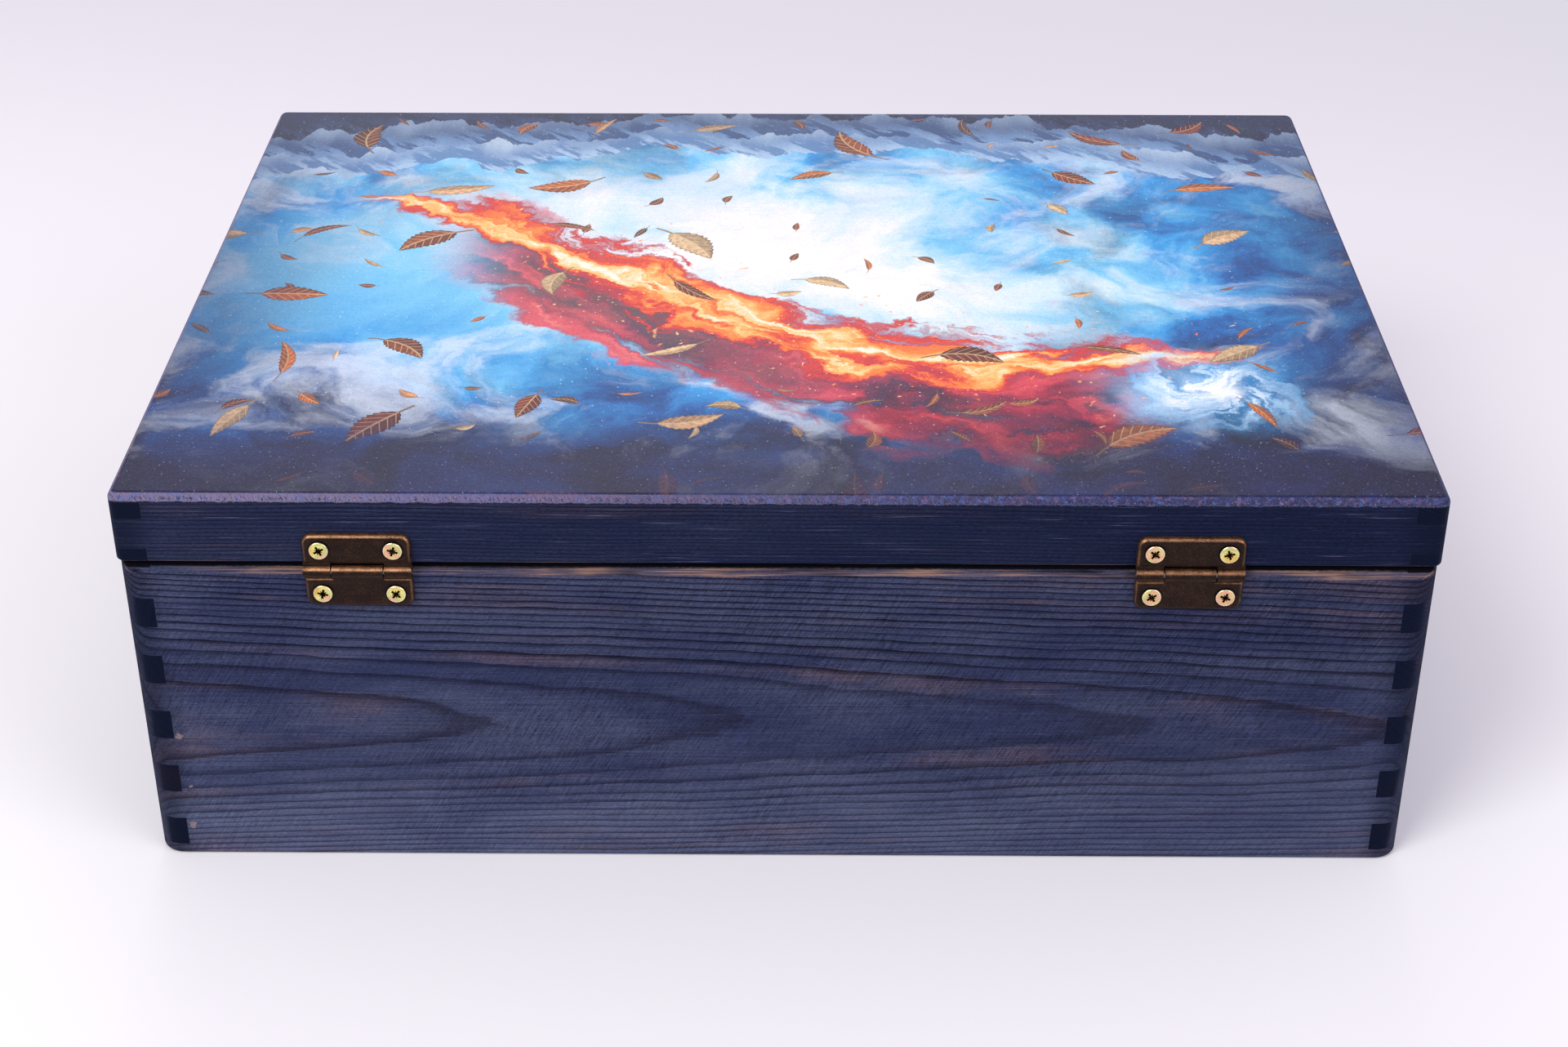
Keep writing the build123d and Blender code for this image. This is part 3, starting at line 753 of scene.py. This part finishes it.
# mountains in mist along the foot of the picture, from the farthest ridge to the nearest
mountains = {
    "ridges": [
        {"foot": 42.0, "rise": 30.0, "step": 0.022, "tone": "#5d83b3", "top": "#a8c5e2", "mist": "#bfd3e6"},
        {"foot": 24.0, "rise": 27.0, "step": 0.033, "tone": "#30507f", "top": "#7398c4", "mist": "#9db6d1"},
        {"foot": 6.0, "rise": 22.0, "step": 0.05, "tone": "#121a36", "top": "#2c3d66", "mist": "#1a2547"},
    ],
    "seed": 1.3,
    "seedStep": 4.7,
    "peaks": {"detail": 6.0, "rough": 0.56},
    "peakShare": 2.4,
    "sidesRise": 2.0,
    "rockSlant": 0.9,
    "rockFlat": 0.45,
    "rockStep": 3.0,
    "rock": {"scale": 0.1, "detail": 6.0, "rough": 0.6},
    "lit": (0.47, 0.53),
    "litDown": (20.0, 0.0),
    "mist": (8.0, 30.0, 0.0, 0.85),
    "outline": (0.0, 0.9, 0.0, 0.94),
}
for n, ridge in enumerate(mountains["ridges"]):
    line = joinXyz(times(axes[0], ridge["step"]), mountains["seedStep"] * n + mountains["seed"])
    peak = minus(noise(line, **mountains["peaks"]), 0.5)
    side = power(absolute(over(axes[0], boxHalf["X"])), mountains["sidesRise"])
    top = plus(times(peak, ridge["rise"] * mountains["peakShare"]),
               timesPlus(side, ridge["rise"], ridge["foot"] - boxHalf["Y"]))
    under = minus(top, axes[1])
    rockAlong = timesPlus(axes[1], mountains["rockSlant"], axes[0])
    rock = joinXyz(rockAlong, times(axes[1], mountains["rockFlat"]), mountains["rockStep"] * n)
    rock = noise(rock, **mountains["rock"])
    lit = times(smooth(rock, *mountains["lit"]), smooth(under, *mountains["litDown"]))
    tone = mixColor(lit, ridge["tone"], ridge["top"])
    tone = mixColor(smooth(under, *mountains["mist"]), tone, ridge["mist"])
    picture = mixColor(smooth(under, *mountains["outline"]), picture, tone)

# a stream of fire that swings across the picture, with dark red smoke beside it and sparks round it
stream = {
    "warp": {"amount": 44.0, "scale": 0.03, "detail": 6.0, "rough": 0.6},
    "middle": 12.0,
    "slope": -0.3,
    "sway": 34.0,
    "wave": 66.0,
    "phase": 2.2,
    "width": 29.0,
    "tipWidth": 2.0,
    "ends": (182.0, 40.0),
}
smokeLook = {
    "beside": 23.0,
    "fold": (0.024, 0.055),
    "foldNoise": {"detail": 5.0, "rough": 0.5, "bend": 0.9},
    "foldBy": 1.9,
    "spread": 50.0,
    "dense": (0.06, 0.5),
    "ends": (0.3, 0.75),
    "thinTo": (0.1, 0.6),
    "by": 0.92,
    "thin": "#e98b7c",
    "tones": [(0.28, "#260b1f"), (0.42, "#5c1029"), (0.53, "#a81832"), (0.64, "#de3f46"), (0.8, "#f79a86")],
}
fireLook = {
    "tongue": (0.035, 0.1),
    "tongueSeed": 5.0,
    "tongueNoise": {"detail": 8.0, "rough": 0.6, "bend": 0.7},
    "tongueHeat": (2.2, -1.25),
    "edge": (0.0, 0.32),
    "ends": (0.02, 0.25),
    "tones": [(0.0, "#7c1730"), (0.2, "#b8263a"), (0.4, "#e2452d"), (0.58, "#f98c35"), (0.76, "#ffc878"),
              (1.0, "#fff4e0")],
}
sparkLook = {
    "scale": 0.2, "size": 0.2, "reach": (60.0, 0.0), "share": 0.9,
    "cool": "#ff7d3a", "hot": "#ffe2a6",
}
bent = warped(flat, **stream["warp"])
bentAxes = axesOf(bent)
swing = sineOf(plus(over(bentAxes[0], stream["wave"]), stream["phase"]))
course = plus(times(swing, stream["sway"]), timesPlus(bentAxes[0], stream["slope"], stream["middle"]))
off = minus(bentAxes[1], course)
fromStream = absolute(off)
taper = smooth(absolute(axes[0]), *stream["ends"])
folds = noise(stretched(bentAxes[0], off, smokeLook["fold"]), **smokeLook["foldNoise"])
fromSmoke = over(absolute(minus(off, smokeLook["beside"])), smokeLook["spread"])
smoke = smooth(minus(times(folds, smokeLook["foldBy"]), fromSmoke), *smokeLook["dense"])
smoke = times(smoke, smooth(taper, *smokeLook["ends"]))
smokeTone = mixColor(smooth(smoke, *smokeLook["thinTo"]), smokeLook["thin"], ramp(folds, smokeLook["tones"]))
picture = mixColor(times(smoke, smokeLook["by"]), picture, smokeTone)
tongues = stretched(bentAxes[0], off, fireLook["tongue"], fireLook["tongueSeed"])
tongues = noise(tongues, **fireLook["tongueNoise"])
heat = minus(1.0, over(fromStream, timesPlus(taper, stream["width"], stream["tipWidth"])))
heat = plus(heat, timesPlus(tongues, *fireLook["tongueHeat"]))
burning = times(smooth(heat, *fireLook["edge"]), smooth(taper, *fireLook["ends"]))
picture = mixColor(burning, picture, ramp(heat, fireLook["tones"]))
warm = times(smooth(fromStream, *sparkLook["reach"]), taper)
sparks = cellsOf(drawn, sparkLook["scale"])
draws = axesOf(sparks["Color"])
spark = times(smooth(sparks["Distance"], times(draws[0], sparkLook["size"]), 0.0),
              lessThan(draws[1], times(warm, sparkLook["share"])))
picture = mixColor(spark, picture, mixColor(draws[2], sparkLook["cool"], sparkLook["hot"]))

# a wisp of cold light with curling arms, fine dust, then leaves of two sizes
wisp = {
    "place": (-140.0, 84.0, 0.0),
    "reach": 46.0,
    "curl": 0.075,
    "ring": 1.6,
    "drawOut": 0.05,
    "arms": {"detail": 7.0, "rough": 0.62},
    "armShare": (0.42, 0.66),
    "light": (0.02, 0.7),
    "armLight": (0.8, 0.35),
    "coreLight": (0.25, 0.9),
    "heart": (11.0, 2.0, 0.0, 0.9),
    "tone": "#48b4f0",
    "core": "#f4fbff",
}
dustLook = {"scale": 0.27, "rare": 4.0, "size": 0.13, "by": 0.85, "tone": "#dff1fb"}
leafSizes = {
    "small": {"Cell": 25.0, "Smallest": 3.0, "Largest": 5.8, "Share": 0.5, "Seed": 7.3},
    "large": {"Cell": 46.0, "Smallest": 8.0, "Largest": 13.5, "Share": 0.8, "Seed": 2.6},
    "burnt": (0.7, 0.2),  # no small leaves in the fire
}
fromWisp = awayFrom(bent, wisp["place"])
spoke = axesOf(vecCalc("SUBTRACT", bent, wisp["place"]))
angle = timesPlus(fromWisp, wisp["curl"], calc("ARCTAN2", spoke[1], spoke[0]))
arms = joinXyz(times(cosineOf(angle), wisp["ring"]), times(sineOf(angle), wisp["ring"]),
               times(fromWisp, wisp["drawOut"]))
arms = smooth(noise(arms, **wisp["arms"]), *wisp["armShare"])
shine = smooth(fromWisp, wisp["reach"], 0.0)
lightUp = times(smooth(shine, *wisp["light"]), timesPlus(arms, *wisp["armLight"]))
picture = mixColor(smallest(lightUp, 1.0), picture, wisp["tone"])
picture = mixColor(times(smooth(shine, *wisp["coreLight"]), arms), picture, wisp["core"])
picture = mixColor(smooth(fromWisp, *wisp["heart"]), picture, wisp["core"])
dust = cellsOf(flat, dustLook["scale"])
draws = axesOf(dust["Color"])
mote = smooth(dust["Distance"], times(power(draws[0], dustLook["rare"]), dustLook["size"]), 0.0)
picture = mixColor(times(mote, dustLook["by"]), picture, dustLook["tone"])
small = useGroup(driftLeaves, {"Place": flat} | leafSizes["small"])
large = useGroup(driftLeaves, {"Place": flat} | leafSizes["large"])
unburnt = smooth(burning, *leafSizes["burnt"])
picture = mixColor(times(small["Mask"], unburnt), picture, small["Color"])
picture = mixColor(large["Mask"], picture, large["Color"])

# darker towards the borders, most of all above the hinges
border = {
    "ragged": 0.3,
    "from": (0.68, 1.06, 0.0, 0.7),
    "weakerAtFoot": (-140.0, 0.0, 0.5, 1.0),
    "hingeRagged": 120.0,
    "hingeSide": (82.0, 142.0, 0.0, 0.92),
    "nightShare": (0.36, 0.64),
    "night": ("#100b2f", "#16164a"),
}
far = biggest(absolute(over(axes[0], boxHalf["X"])), absolute(over(axes[1], boxHalf["Y"])))
ragged = centred(billow, border["ragged"])
outer = times(smooth(plus(far, ragged), *border["from"]), smooth(axes[1], *border["weakerAtFoot"]))
upper = smooth(timesPlus(ragged, border["hingeRagged"], axes[1]), *border["hingeSide"])
night = mixColor(smooth(billow, *border["nightShare"]), *border["night"])
picture = mixColor(biggest(outer, upper), picture, night)

# the print lies on veneer: sandy grain, faint streaks and a few flecks where the ink is missing
veneerLook = {
    "seed": 91.0,
    "streak": (0.3, 0.7, -0.04, 0.04),
    "speckle": {"scale": 3.2, "detail": 2.0, "rough": 0.7},
    "sand": {"scale": 1.7, "detail": 3.0, "rough": 0.75},
    "sandLevel": (0.3, 0.7, 0.86, 1.14),
    "sandLight": (0.5, 0.72, 0.0, 0.12),
    "sandTone": "#8f9cc8",
    "fleckScale": 1.1,
    "fleckSize": (0.26, 0.12),
    "fleckShare": 0.035,
    "fleckBy": 0.4,
    "fleckTone": "#e6eef8",
}
veneer = useGroup(woodFibre, {"Along": axes[0], "Across": axes[1], "Seed": veneerLook["seed"]})
speckle = noise(place, **veneerLook["speckle"])
sandy = noise(place, **veneerLook["sand"])
grain = plus(smooth(veneer["Streak"], *veneerLook["streak"]), smooth(sandy, *veneerLook["sandLevel"]))
picture = mixColor(smooth(sandy, *veneerLook["sandLight"]), scaled(picture, grain), veneerLook["sandTone"])
flecks = cellsOf(flat, veneerLook["fleckScale"])
draws = axesOf(flecks["Color"])
fleck = times(smooth(flecks["Distance"], *veneerLook["fleckSize"]),
              lessThan(draws[0], veneerLook["fleckShare"]))
picture = mixColor(times(fleck, times(draws[1], veneerLook["fleckBy"])), picture, veneerLook["fleckTone"])

# rounded edge: ink sprayed over dark veneers, pitted, in short strokes that end in a ragged line
edge = {
    "stroke": (1.7, 0.7),
    "strokeNoise": {"detail": 3.0, "rough": 0.6},
    "strokeReach": (0.7, 2.2),
    "wave": 0.22,
    "waveNoise": {"detail": 4.0, "rough": 0.6},
    "waveReach": 1.8,
    "sprayed": (-0.06, 0.2),
    "core": "#10132a",
    "ink": ("#3d3e62", "#837a97"),
    "inkRun": (-120.0, 190.0),
    "fromPicture": 0.25,
    "tintNoise": {"scale": 0.7, "detail": 3.0, "rough": 0.6, "out": "Color"},
    "tintShare": (0.5, 0.64, 0.0, 0.4),
    "tints": ("#8a6584", "#4a69ae"),
    "pitSpeckle": 0.8,
    "pits": (0.84, 1.14),
    "pitsDown": (0.2, 1.4, 0.3, 0.9),
    "lipAt": 0.05,
    "lip": (0.3, 0.05),
    "lipSpeckle": (0.5, 0.6),
    "lipBy": 0.3,
    "paintedGlintNoise": {"scale": 3.0, "detail": 1.0},
    "paintedGlints": (0.68, 0.76),
    "paintedGlintBy": 0.6,
    "scuff": "#a9b2d6",
    "turnSpeckle": 0.16,
    "turn": (0.95, 0.84),  # how far a surface still faces up where the edge begins and where it is complete
}
girth = plus(axes[0], axes[1])
strokes = noise(stretched(girth, axes[2], edge["stroke"]), **edge["strokeNoise"])
waves = noise(joinXyz(times(girth, edge["wave"])), **edge["waveNoise"])
below = minus(boxTop, axes[2])
reach = plus(timesPlus(strokes, *edge["strokeReach"]), centred(waves, edge["waveReach"]))
spare = minus(reach, below)
ink = mixColor(smooth(axes[0], *edge["inkRun"]), *edge["ink"])
ink = mixColor(edge["fromPicture"], ink, picture)
tintDraws = axesOf(noise(place, **edge["tintNoise"]))
for draw, tint in zip(tintDraws, edge["tints"]):
    ink = mixColor(smooth(draw, *edge["tintShare"]), ink, tint)
pits = smooth(plus(strokes, times(speckle, edge["pitSpeckle"])), *edge["pits"])
ink = mixColor(times(pits, smooth(below, *edge["pitsDown"])), ink, edge["core"])
rimTone = mixColor(smooth(spare, *edge["sprayed"]), edge["core"], ink)
lip = times(smooth(absolute(minus(spare, edge["lipAt"])), *edge["lip"]), smooth(speckle, *edge["lipSpeckle"]))
rimTone = mixColor(times(lip, edge["lipBy"]), rimTone, edge["scuff"])
# painted glints: pale specks in the scuff tone stand in for highlights on the edge
paintedGlints = smooth(noise(place, **edge["paintedGlintNoise"]), *edge["paintedGlints"])
rimTone = mixColor(times(paintedGlints, edge["paintedGlintBy"]), rimTone, edge["scuff"])
turned = plus(facing[2], centred(speckle, edge["turnSpeckle"]))
surface = mixColor(smooth(turned, *edge["turn"]), picture, rimTone)

# bare birch under the lid
birchLook = {
    "seed": 14.0,
    "streak": (0.3, 0.75),
    "tones": ("#e0cba2", "#d3b98c"),
    "fleck": (0.62, 0.74, 0.0, 0.4),
    "fleckTone": "#b99868",
    "facingDown": (-0.6, -0.8),
}
birchFibre = useGroup(woodFibre, {
    "Along": axes[0], "Across": axes[1], "Depth": axes[2], "Seed": birchLook["seed"]})
birch = mixColor(smooth(birchFibre["Streak"], *birchLook["streak"]), *birchLook["tones"])
birch = mixColor(smooth(birchFibre["Fleck"], *birchLook["fleck"]), birch, birchLook["fleckTone"])
surface = mixColor(smooth(facing[2], *birchLook["facingDown"]), surface, birch)

# the surface: sandy on top, rougher and pitted round the edge
relief = plus(times(veneer["Streak"], panelLook["streakRelief"]),
              times(speckle, smooth(turned, *edge["turn"], *panelLook["speckleRelief"])),
              times(sandy, smooth(turned, *reversed(edge["turn"]), *panelLook["sandRelief"])))
roughness = smooth(turned, *edge["turn"], *panelLook["roughness"])
relief = bump(relief, *panelLook["bump"])
wire(shader.inputs, {"Base Color": surface, "Roughness": roughness, "Normal": relief})
dress("lid_panel", printWood)
print("picture printed on the lid")

# distance from the axis of the nearest screw; the screws stand in pairs about a middle line and a level
screwDistance, given, result = newGroup("screwDistance", dict.fromkeys(
    ("X", "Z", "Middle", "Half", "Spread", "Level", "Rise"), 0.0), {"Distance": "Float"})
side = absolute(minus(given["X"], given["Middle"]))
side = minus(absolute(minus(side, given["Half"])), given["Spread"])
up = minus(absolute(minus(given["Z"], given["Level"])), given["Rise"])
plug(lengthOf(joinXyz(side, up)), result["Distance"])

headRadius = 2.9  # of every screw, in millimetres


def screwSpot(boxScrews, lidScrews, *plates):  # read from the frame, in millimetres
    low, high = middleOf(boxScrews, 2), middleOf(lidScrews, 2)
    first, last = middleOf(plates[0], 0), middleOf(plates[-1], 0)
    return {
        "Middle": (first + last) / 2, "Half": (last - first) / 2,
        "Spread": highOf(boxScrews, 0) - headRadius - last,
        "Level": (low + high) / 2, "Rise": (high - low) / 2,
    }


screwSpots = {
    "hinge": screwSpot("hinge_box_screws", "hinge_lid_screws", "left_hinge_box_leaf", "right_hinge_box_leaf"),
    "latch": screwSpot("latch_base_screws", "catch_screws", "latch_base"),
}


def onHingeSide(axes, latch, hinge):  # hinges are on the +Y side, the latch is on the other
    return mixValue(moreThan(axes[1], 0.0), latch, hinge)


def nearestScrew(axes):
    spots = [{"X": axes[0], "Z": axes[2]} | screwSpots[side] for side in ("latch", "hinge")]
    return onHingeSide(axes, *(useGroup(screwDistance, spot)["Distance"] for spot in spots))


# antique bronze: dark lacquered patina, speckled, rubbed to copper along the edges, with a painted highlight
# on their upper side, and painted shadow round the screws
bronze = {
    "dark": "#221916", "mid": "#5a3f30", "wornAndHighlight": "#c08c66", "paintedShade": "#0c0908",
    "metallic": 0.92, "gloss": 0.5,
    "mottle": {"scale": 0.3, "detail": 3.0, "rough": 0.6},
    "grit": {"scale": 2.8, "detail": 4.0, "rough": 0.75},
    "midMottle": 0.24, "midShare": (0.58, 0.92),
    "curved": (0.97, 0.7),  # the rounded rims and the knuckles
    "upwardHighlight": (-0.4, 0.7, 0.28, 1.0),
    "wornMottle": 0.6, "wornShare": (0.6, 0.95, 0.15, 0.9),
    "screwShadowMottle": 0.9, "screwShadowReach": (4.4, 3.3, 0.0, 0.8),
    "roughness": (0.35, 0.7, 0.28, 0.5),
    "bump": (0.4, 0.0001),
}
bronzeMetal, shader = newMaterial("antiqueBronze", {
    "Metallic": bronze["metallic"], "Specular IOR Level": bronze["gloss"]})
place, axes, facing = objectPlace()
mottle = noise(place, **bronze["mottle"])
grit = noise(place, **bronze["grit"])
tone = smooth(timesPlus(mottle, bronze["midMottle"], grit), *bronze["midShare"])
tone = mixColor(tone, bronze["dark"], bronze["mid"])
# copper rubbed on the rounded rims and knuckles, brighter on their upper side as a painted highlight
curved = times(smooth(absolute(facing[1]), *bronze["curved"]), smooth(facing[2], *bronze["upwardHighlight"]))
rubbed = smooth(timesPlus(mottle, bronze["wornMottle"], grit), *bronze["wornShare"])
tone = mixColor(times(curved, rubbed), tone, bronze["wornAndHighlight"])
# painted shadow: a dark ragged ring round each screw head
screwShadow = smooth(timesPlus(mottle, bronze["screwShadowMottle"], nearestScrew(axes)), *bronze["screwShadowReach"])
wire(shader.inputs, {
    "Base Color": mixColor(screwShadow, tone, bronze["paintedShade"]),
    "Roughness": smooth(grit, *bronze["roughness"]),
    "Normal": bump(grit, *bronze["bump"]),
})
hingeLeaves = [name for name in nodes if "hinge" in name and "leaf" in name]
for name in hingeLeaves + ["latch_base", "latch_rivet", "latch_hook", "catch_plate", "catch_post"]:
    dress(name, bronzeMetal)

# yellow zinc screws: an oil-film tint that differs from head to head, painted shade with a few painted glints
# in the recess, and a painted highlight on the head's rim
zinc = {
    "film": [(0.34, "#d9b25a"), (0.44, "#f0e08c"), (0.5, "#c3d27e"), (0.56, "#eab092"), (0.64, "#e3cf8e")],
    "filmNoise": {"scale": 0.11, "detail": 2.5, "rough": 0.6},
    "grit": {"scale": 2.4, "detail": 3.0},
    "gritLevel": (0.3, 0.7, 0.8, 1.1),
    "recessShade": "#120b07", "recessGlint": "#a07a3c", "recessGlintShare": (0.46, 0.66, 0.0, 0.5),
    "sunk": (0.03, 0.25), "recess": (2.35, 2.2),
    "rim": "#f2ecd8", "rimHighlightFrom": (2.4, 2.7), "rimHighlightGrit": (0.38, 0.6, 0.1, 0.6),
    "roughness": (0.3, 0.7, 0.26, 0.42), "pitRoughness": 0.8,
    "bump": (0.25, 0.00006),
}
zincMetal, shader = newMaterial("yellowZinc", {"Metallic": 1.0})
place, axes = objectPlace()[:2]
film = ramp(noise(place, **zinc["filmNoise"]), zinc["film"])
grit = noise(place, **zinc["grit"])
film = scaled(film, smooth(grit, *zinc["gritLevel"]))
fromAxis = nearestScrew(axes)
headTop = onHingeSide(axes, -lowOf("latch_base_screws", 1), highOf("hinge_box_screws", 1))
sunk = minus(headTop, absolute(axes[1]))
# painted shade in the recess, with a few painted glints
recessShade = times(smooth(sunk, *zinc["sunk"]), smooth(fromAxis, *zinc["recess"]))
# painted highlight: a pale ragged ring at the head's rim
rimHighlight = times(smooth(fromAxis, *zinc["rimHighlightFrom"]), smooth(grit, *zinc["rimHighlightGrit"]))
film = mixColor(rimHighlight, film, zinc["rim"])
paintedShade = mixColor(smooth(grit, *zinc["recessGlintShare"]), zinc["recessShade"], zinc["recessGlint"])
wire(shader.inputs, {
    "Base Color": mixColor(recessShade, film, paintedShade),
    "Roughness": biggest(smooth(grit, *zinc["roughness"]), times(recessShade, zinc["pitRoughness"])),
    "Normal": bump(grit, *zinc["bump"]),
})

# every screw was driven to its own angle, given here in degrees from the lowest X to the highest
drivenScrews = {
    "hinge_box_screws": {"body": "box", "spot": "hinge", "turns": (21, -34, 40, 12)},
    "hinge_lid_screws": {"body": "lid", "spot": "hinge", "turns": (-15, 37, 18, -27)},
    "latch_base_screws": {"body": "box", "spot": "latch", "turns": (29, -11)},
    "catch_screws": {"body": "lid", "spot": "latch", "turns": (9, 41)},
}


def screwPlaces(spot):  # along X, in millimetres
    return sorted({spot["Middle"] + a * spot["Half"] + b * spot["Spread"] for a in (-1, 1) for b in (-1, 1)})


for name, screws in drivenScrews.items():
    mesh = nodes[name].data.copy()
    level = middleOf(name, 2) / mm
    turns = dict(zip(screwPlaces(screwSpots[screws["spot"]]), screws["turns"]))
    for vertex in mesh.vertices:
        middle = min(turns, key=lambda x: abs(vertex.co.x * mm - x))
        angle = math.radians(turns[middle])
        side, up = vertex.co.x - middle / mm, vertex.co.z - level
        vertex.co.x = middle / mm + side * math.cos(angle) - up * math.sin(angle)
        vertex.co.z = level + side * math.sin(angle) + up * math.cos(angle)
    mesh.materials.clear()
    mesh.materials.append(zincMetal)
    driven = addObject("driven_" + name, mesh)
    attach(driven, screws["body"])
    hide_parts(name)

# hinge pins: bright steel, drawn lengthwise
steel = {
    "stretch": 0.1,
    "lines": {"scale": 4.0, "detail": 2.0},
    "tones": ("#8d8a86", "#c9c7c2"),
    "roughness": (0.3, 0.7, 0.25, 0.5),
}
steelMetal, shader = newMaterial("drawnSteel", {"Metallic": 1.0})
axes = objectPlace()[1]
drawnLines = noise(joinXyz(times(axes[0], steel["stretch"]), axes[1], axes[2]), **steel["lines"])
wire(shader.inputs, {
    "Base Color": mixColor(drawnLines, *steel["tones"]),
    "Roughness": smooth(drawnLines, *steel["roughness"]),
})
for name in ("left_hinge_pin", "right_hinge_pin"):
    dress(name, steelMetal)
print("metal finished")

# bare birch plywood inside: pale faces with short flecks, and layered edges
plyLook = {
    "face": ("#e2c898", "#d3b482"), "streak": (0.34, 0.66),
    "fleckTone": "#b08a59", "fleck": (0.62, 0.74, 0.0, 0.45),
    "layers": ("#dcc193", "#a47b4c"), "layerLevel": (0.3, 0.7, 0.8, 1.1),
    "edgeFrom": (0.8, 0.6),
    "roughness": (0.3, 0.7, 0.55, 0.72),
    "gloss": 0.2,
    "bump": (0.4, 0.00015),
    "ease": 0.0002,
    "seed": 2.0, "seedStep": 11.0,
}
barePly, given, result = newGroup("barePly", {
    "Along": 0.0, "Across": 0.0, "Thin": 0.0, "Face On": 1.0, "Start": 0.0, "Layer": 1.0, "Seed": 0.0,
}, {"Color": "Color", "Roughness": "Float", "Height": "Float"})
fibre = useGroup(woodFibre, {
    "Along": given["Along"], "Across": given["Across"], "Depth": given["Thin"], "Seed": given["Seed"]})
face = mixColor(smooth(fibre["Streak"], *plyLook["streak"]), *plyLook["face"])
face = mixColor(smooth(fibre["Fleck"], *plyLook["fleck"]), face, plyLook["fleckTone"])
layer = zigzag(wholePart(over(minus(given["Thin"], given["Start"]), given["Layer"])), 1.0)
side = scaled(mixColor(layer, *plyLook["layers"]), smooth(fibre["Fleck"], *plyLook["layerLevel"]))
wire(result, {
    "Color": mixColor(smooth(given["Face On"], *plyLook["edgeFrom"]), face, side),
    "Roughness": smooth(fibre["Streak"], *plyLook["roughness"]),
    "Height": plus(fibre["Streak"], fibre["Fleck"]),
})

# each panel: the axis across its thickness, the axis of its face grain, and how thick a layer is
panels = {"bottom_panel": {"thin": 2, "grain": 0, "layer": 4.0 / 3}}
for n in (1, 2, 3):
    panels["row_wall_%d" % n] = {"thin": 1, "grain": 0, "layer": 1.0}
for n in (1, 2, 3, 4):
    panels["stop_plate_%d" % n] = {"thin": 0, "grain": 1, "layer": 1.0}
for n, (name, panel) in enumerate(panels.items()):
    thin, grain = panel["thin"], panel["grain"]
    material, shader = newMaterial(name + "Ply", {"Specular IOR Level": plyLook["gloss"]})
    axes, facing = objectPlace()[1:]
    ply = useGroup(barePly, {
        "Along": axes[grain], "Across": axes[3 - grain - thin], "Thin": axes[thin],
        "Face On": absolute(facing[thin]), "Start": lowOf(name, thin), "Layer": panel["layer"],
        "Seed": plyLook["seedStep"] * n + plyLook["seed"],
    })
    relief = bump(ply["Height"], *plyLook["bump"])
    wire(shader.inputs, {"Base Color": ply["Color"], "Roughness": ply["Roughness"], "Normal": relief})
    dress(name, material)
    easeEdges(nodes[name], plyLook["ease"])

# triangular blocks behind the stops: bare pine with slanting grain
brace = {
    "rings": {"Pith Across": 210.0, "Pith Depth": 30.0, "Tilt": 0.1, "Ring Width": 2.6, "Wander": 4.0},
    "seed": 5.5,
    "tones": ("#e0bd8a", "#b98650"), "lateBy": 0.75,
    "streakLevel": (0.3, 0.7, 0.88, 1.08),
    "roughness": (0.3, 0.7, 0.55, 0.7),
    "gloss": 0.2,
    "bump": (0.4, 0.0002),
    "ease": 0.0003,
}
braceWood, shader = newMaterial("braceWood", {"Specular IOR Level": brace["gloss"]})
axes = objectPlace()[1]
grainWay = {"Along": axes[2], "Across": axes[0], "Depth": axes[1], "Seed": brace["seed"]}
rings = useGroup(pineRings, grainWay | brace["rings"])
fibre = useGroup(woodFibre, grainWay)
tone = mixColor(times(rings["Late"], brace["lateBy"]), *brace["tones"])
wire(shader.inputs, {
    "Base Color": scaled(tone, smooth(fibre["Streak"], *brace["streakLevel"])),
    "Roughness": smooth(fibre["Streak"], *brace["roughness"]),
    "Normal": bump(plus(rings["Late"], fibre["Streak"]), *brace["bump"]),
})
for n in (1, 2, 3, 4):
    dress("stop_brace_%d" % n, braceWood)
    easeEdges(nodes["stop_brace_%d" % n], brace["ease"])
print("inside finished")

bpy.context.scene.view_settings.view_transform = "Standard"
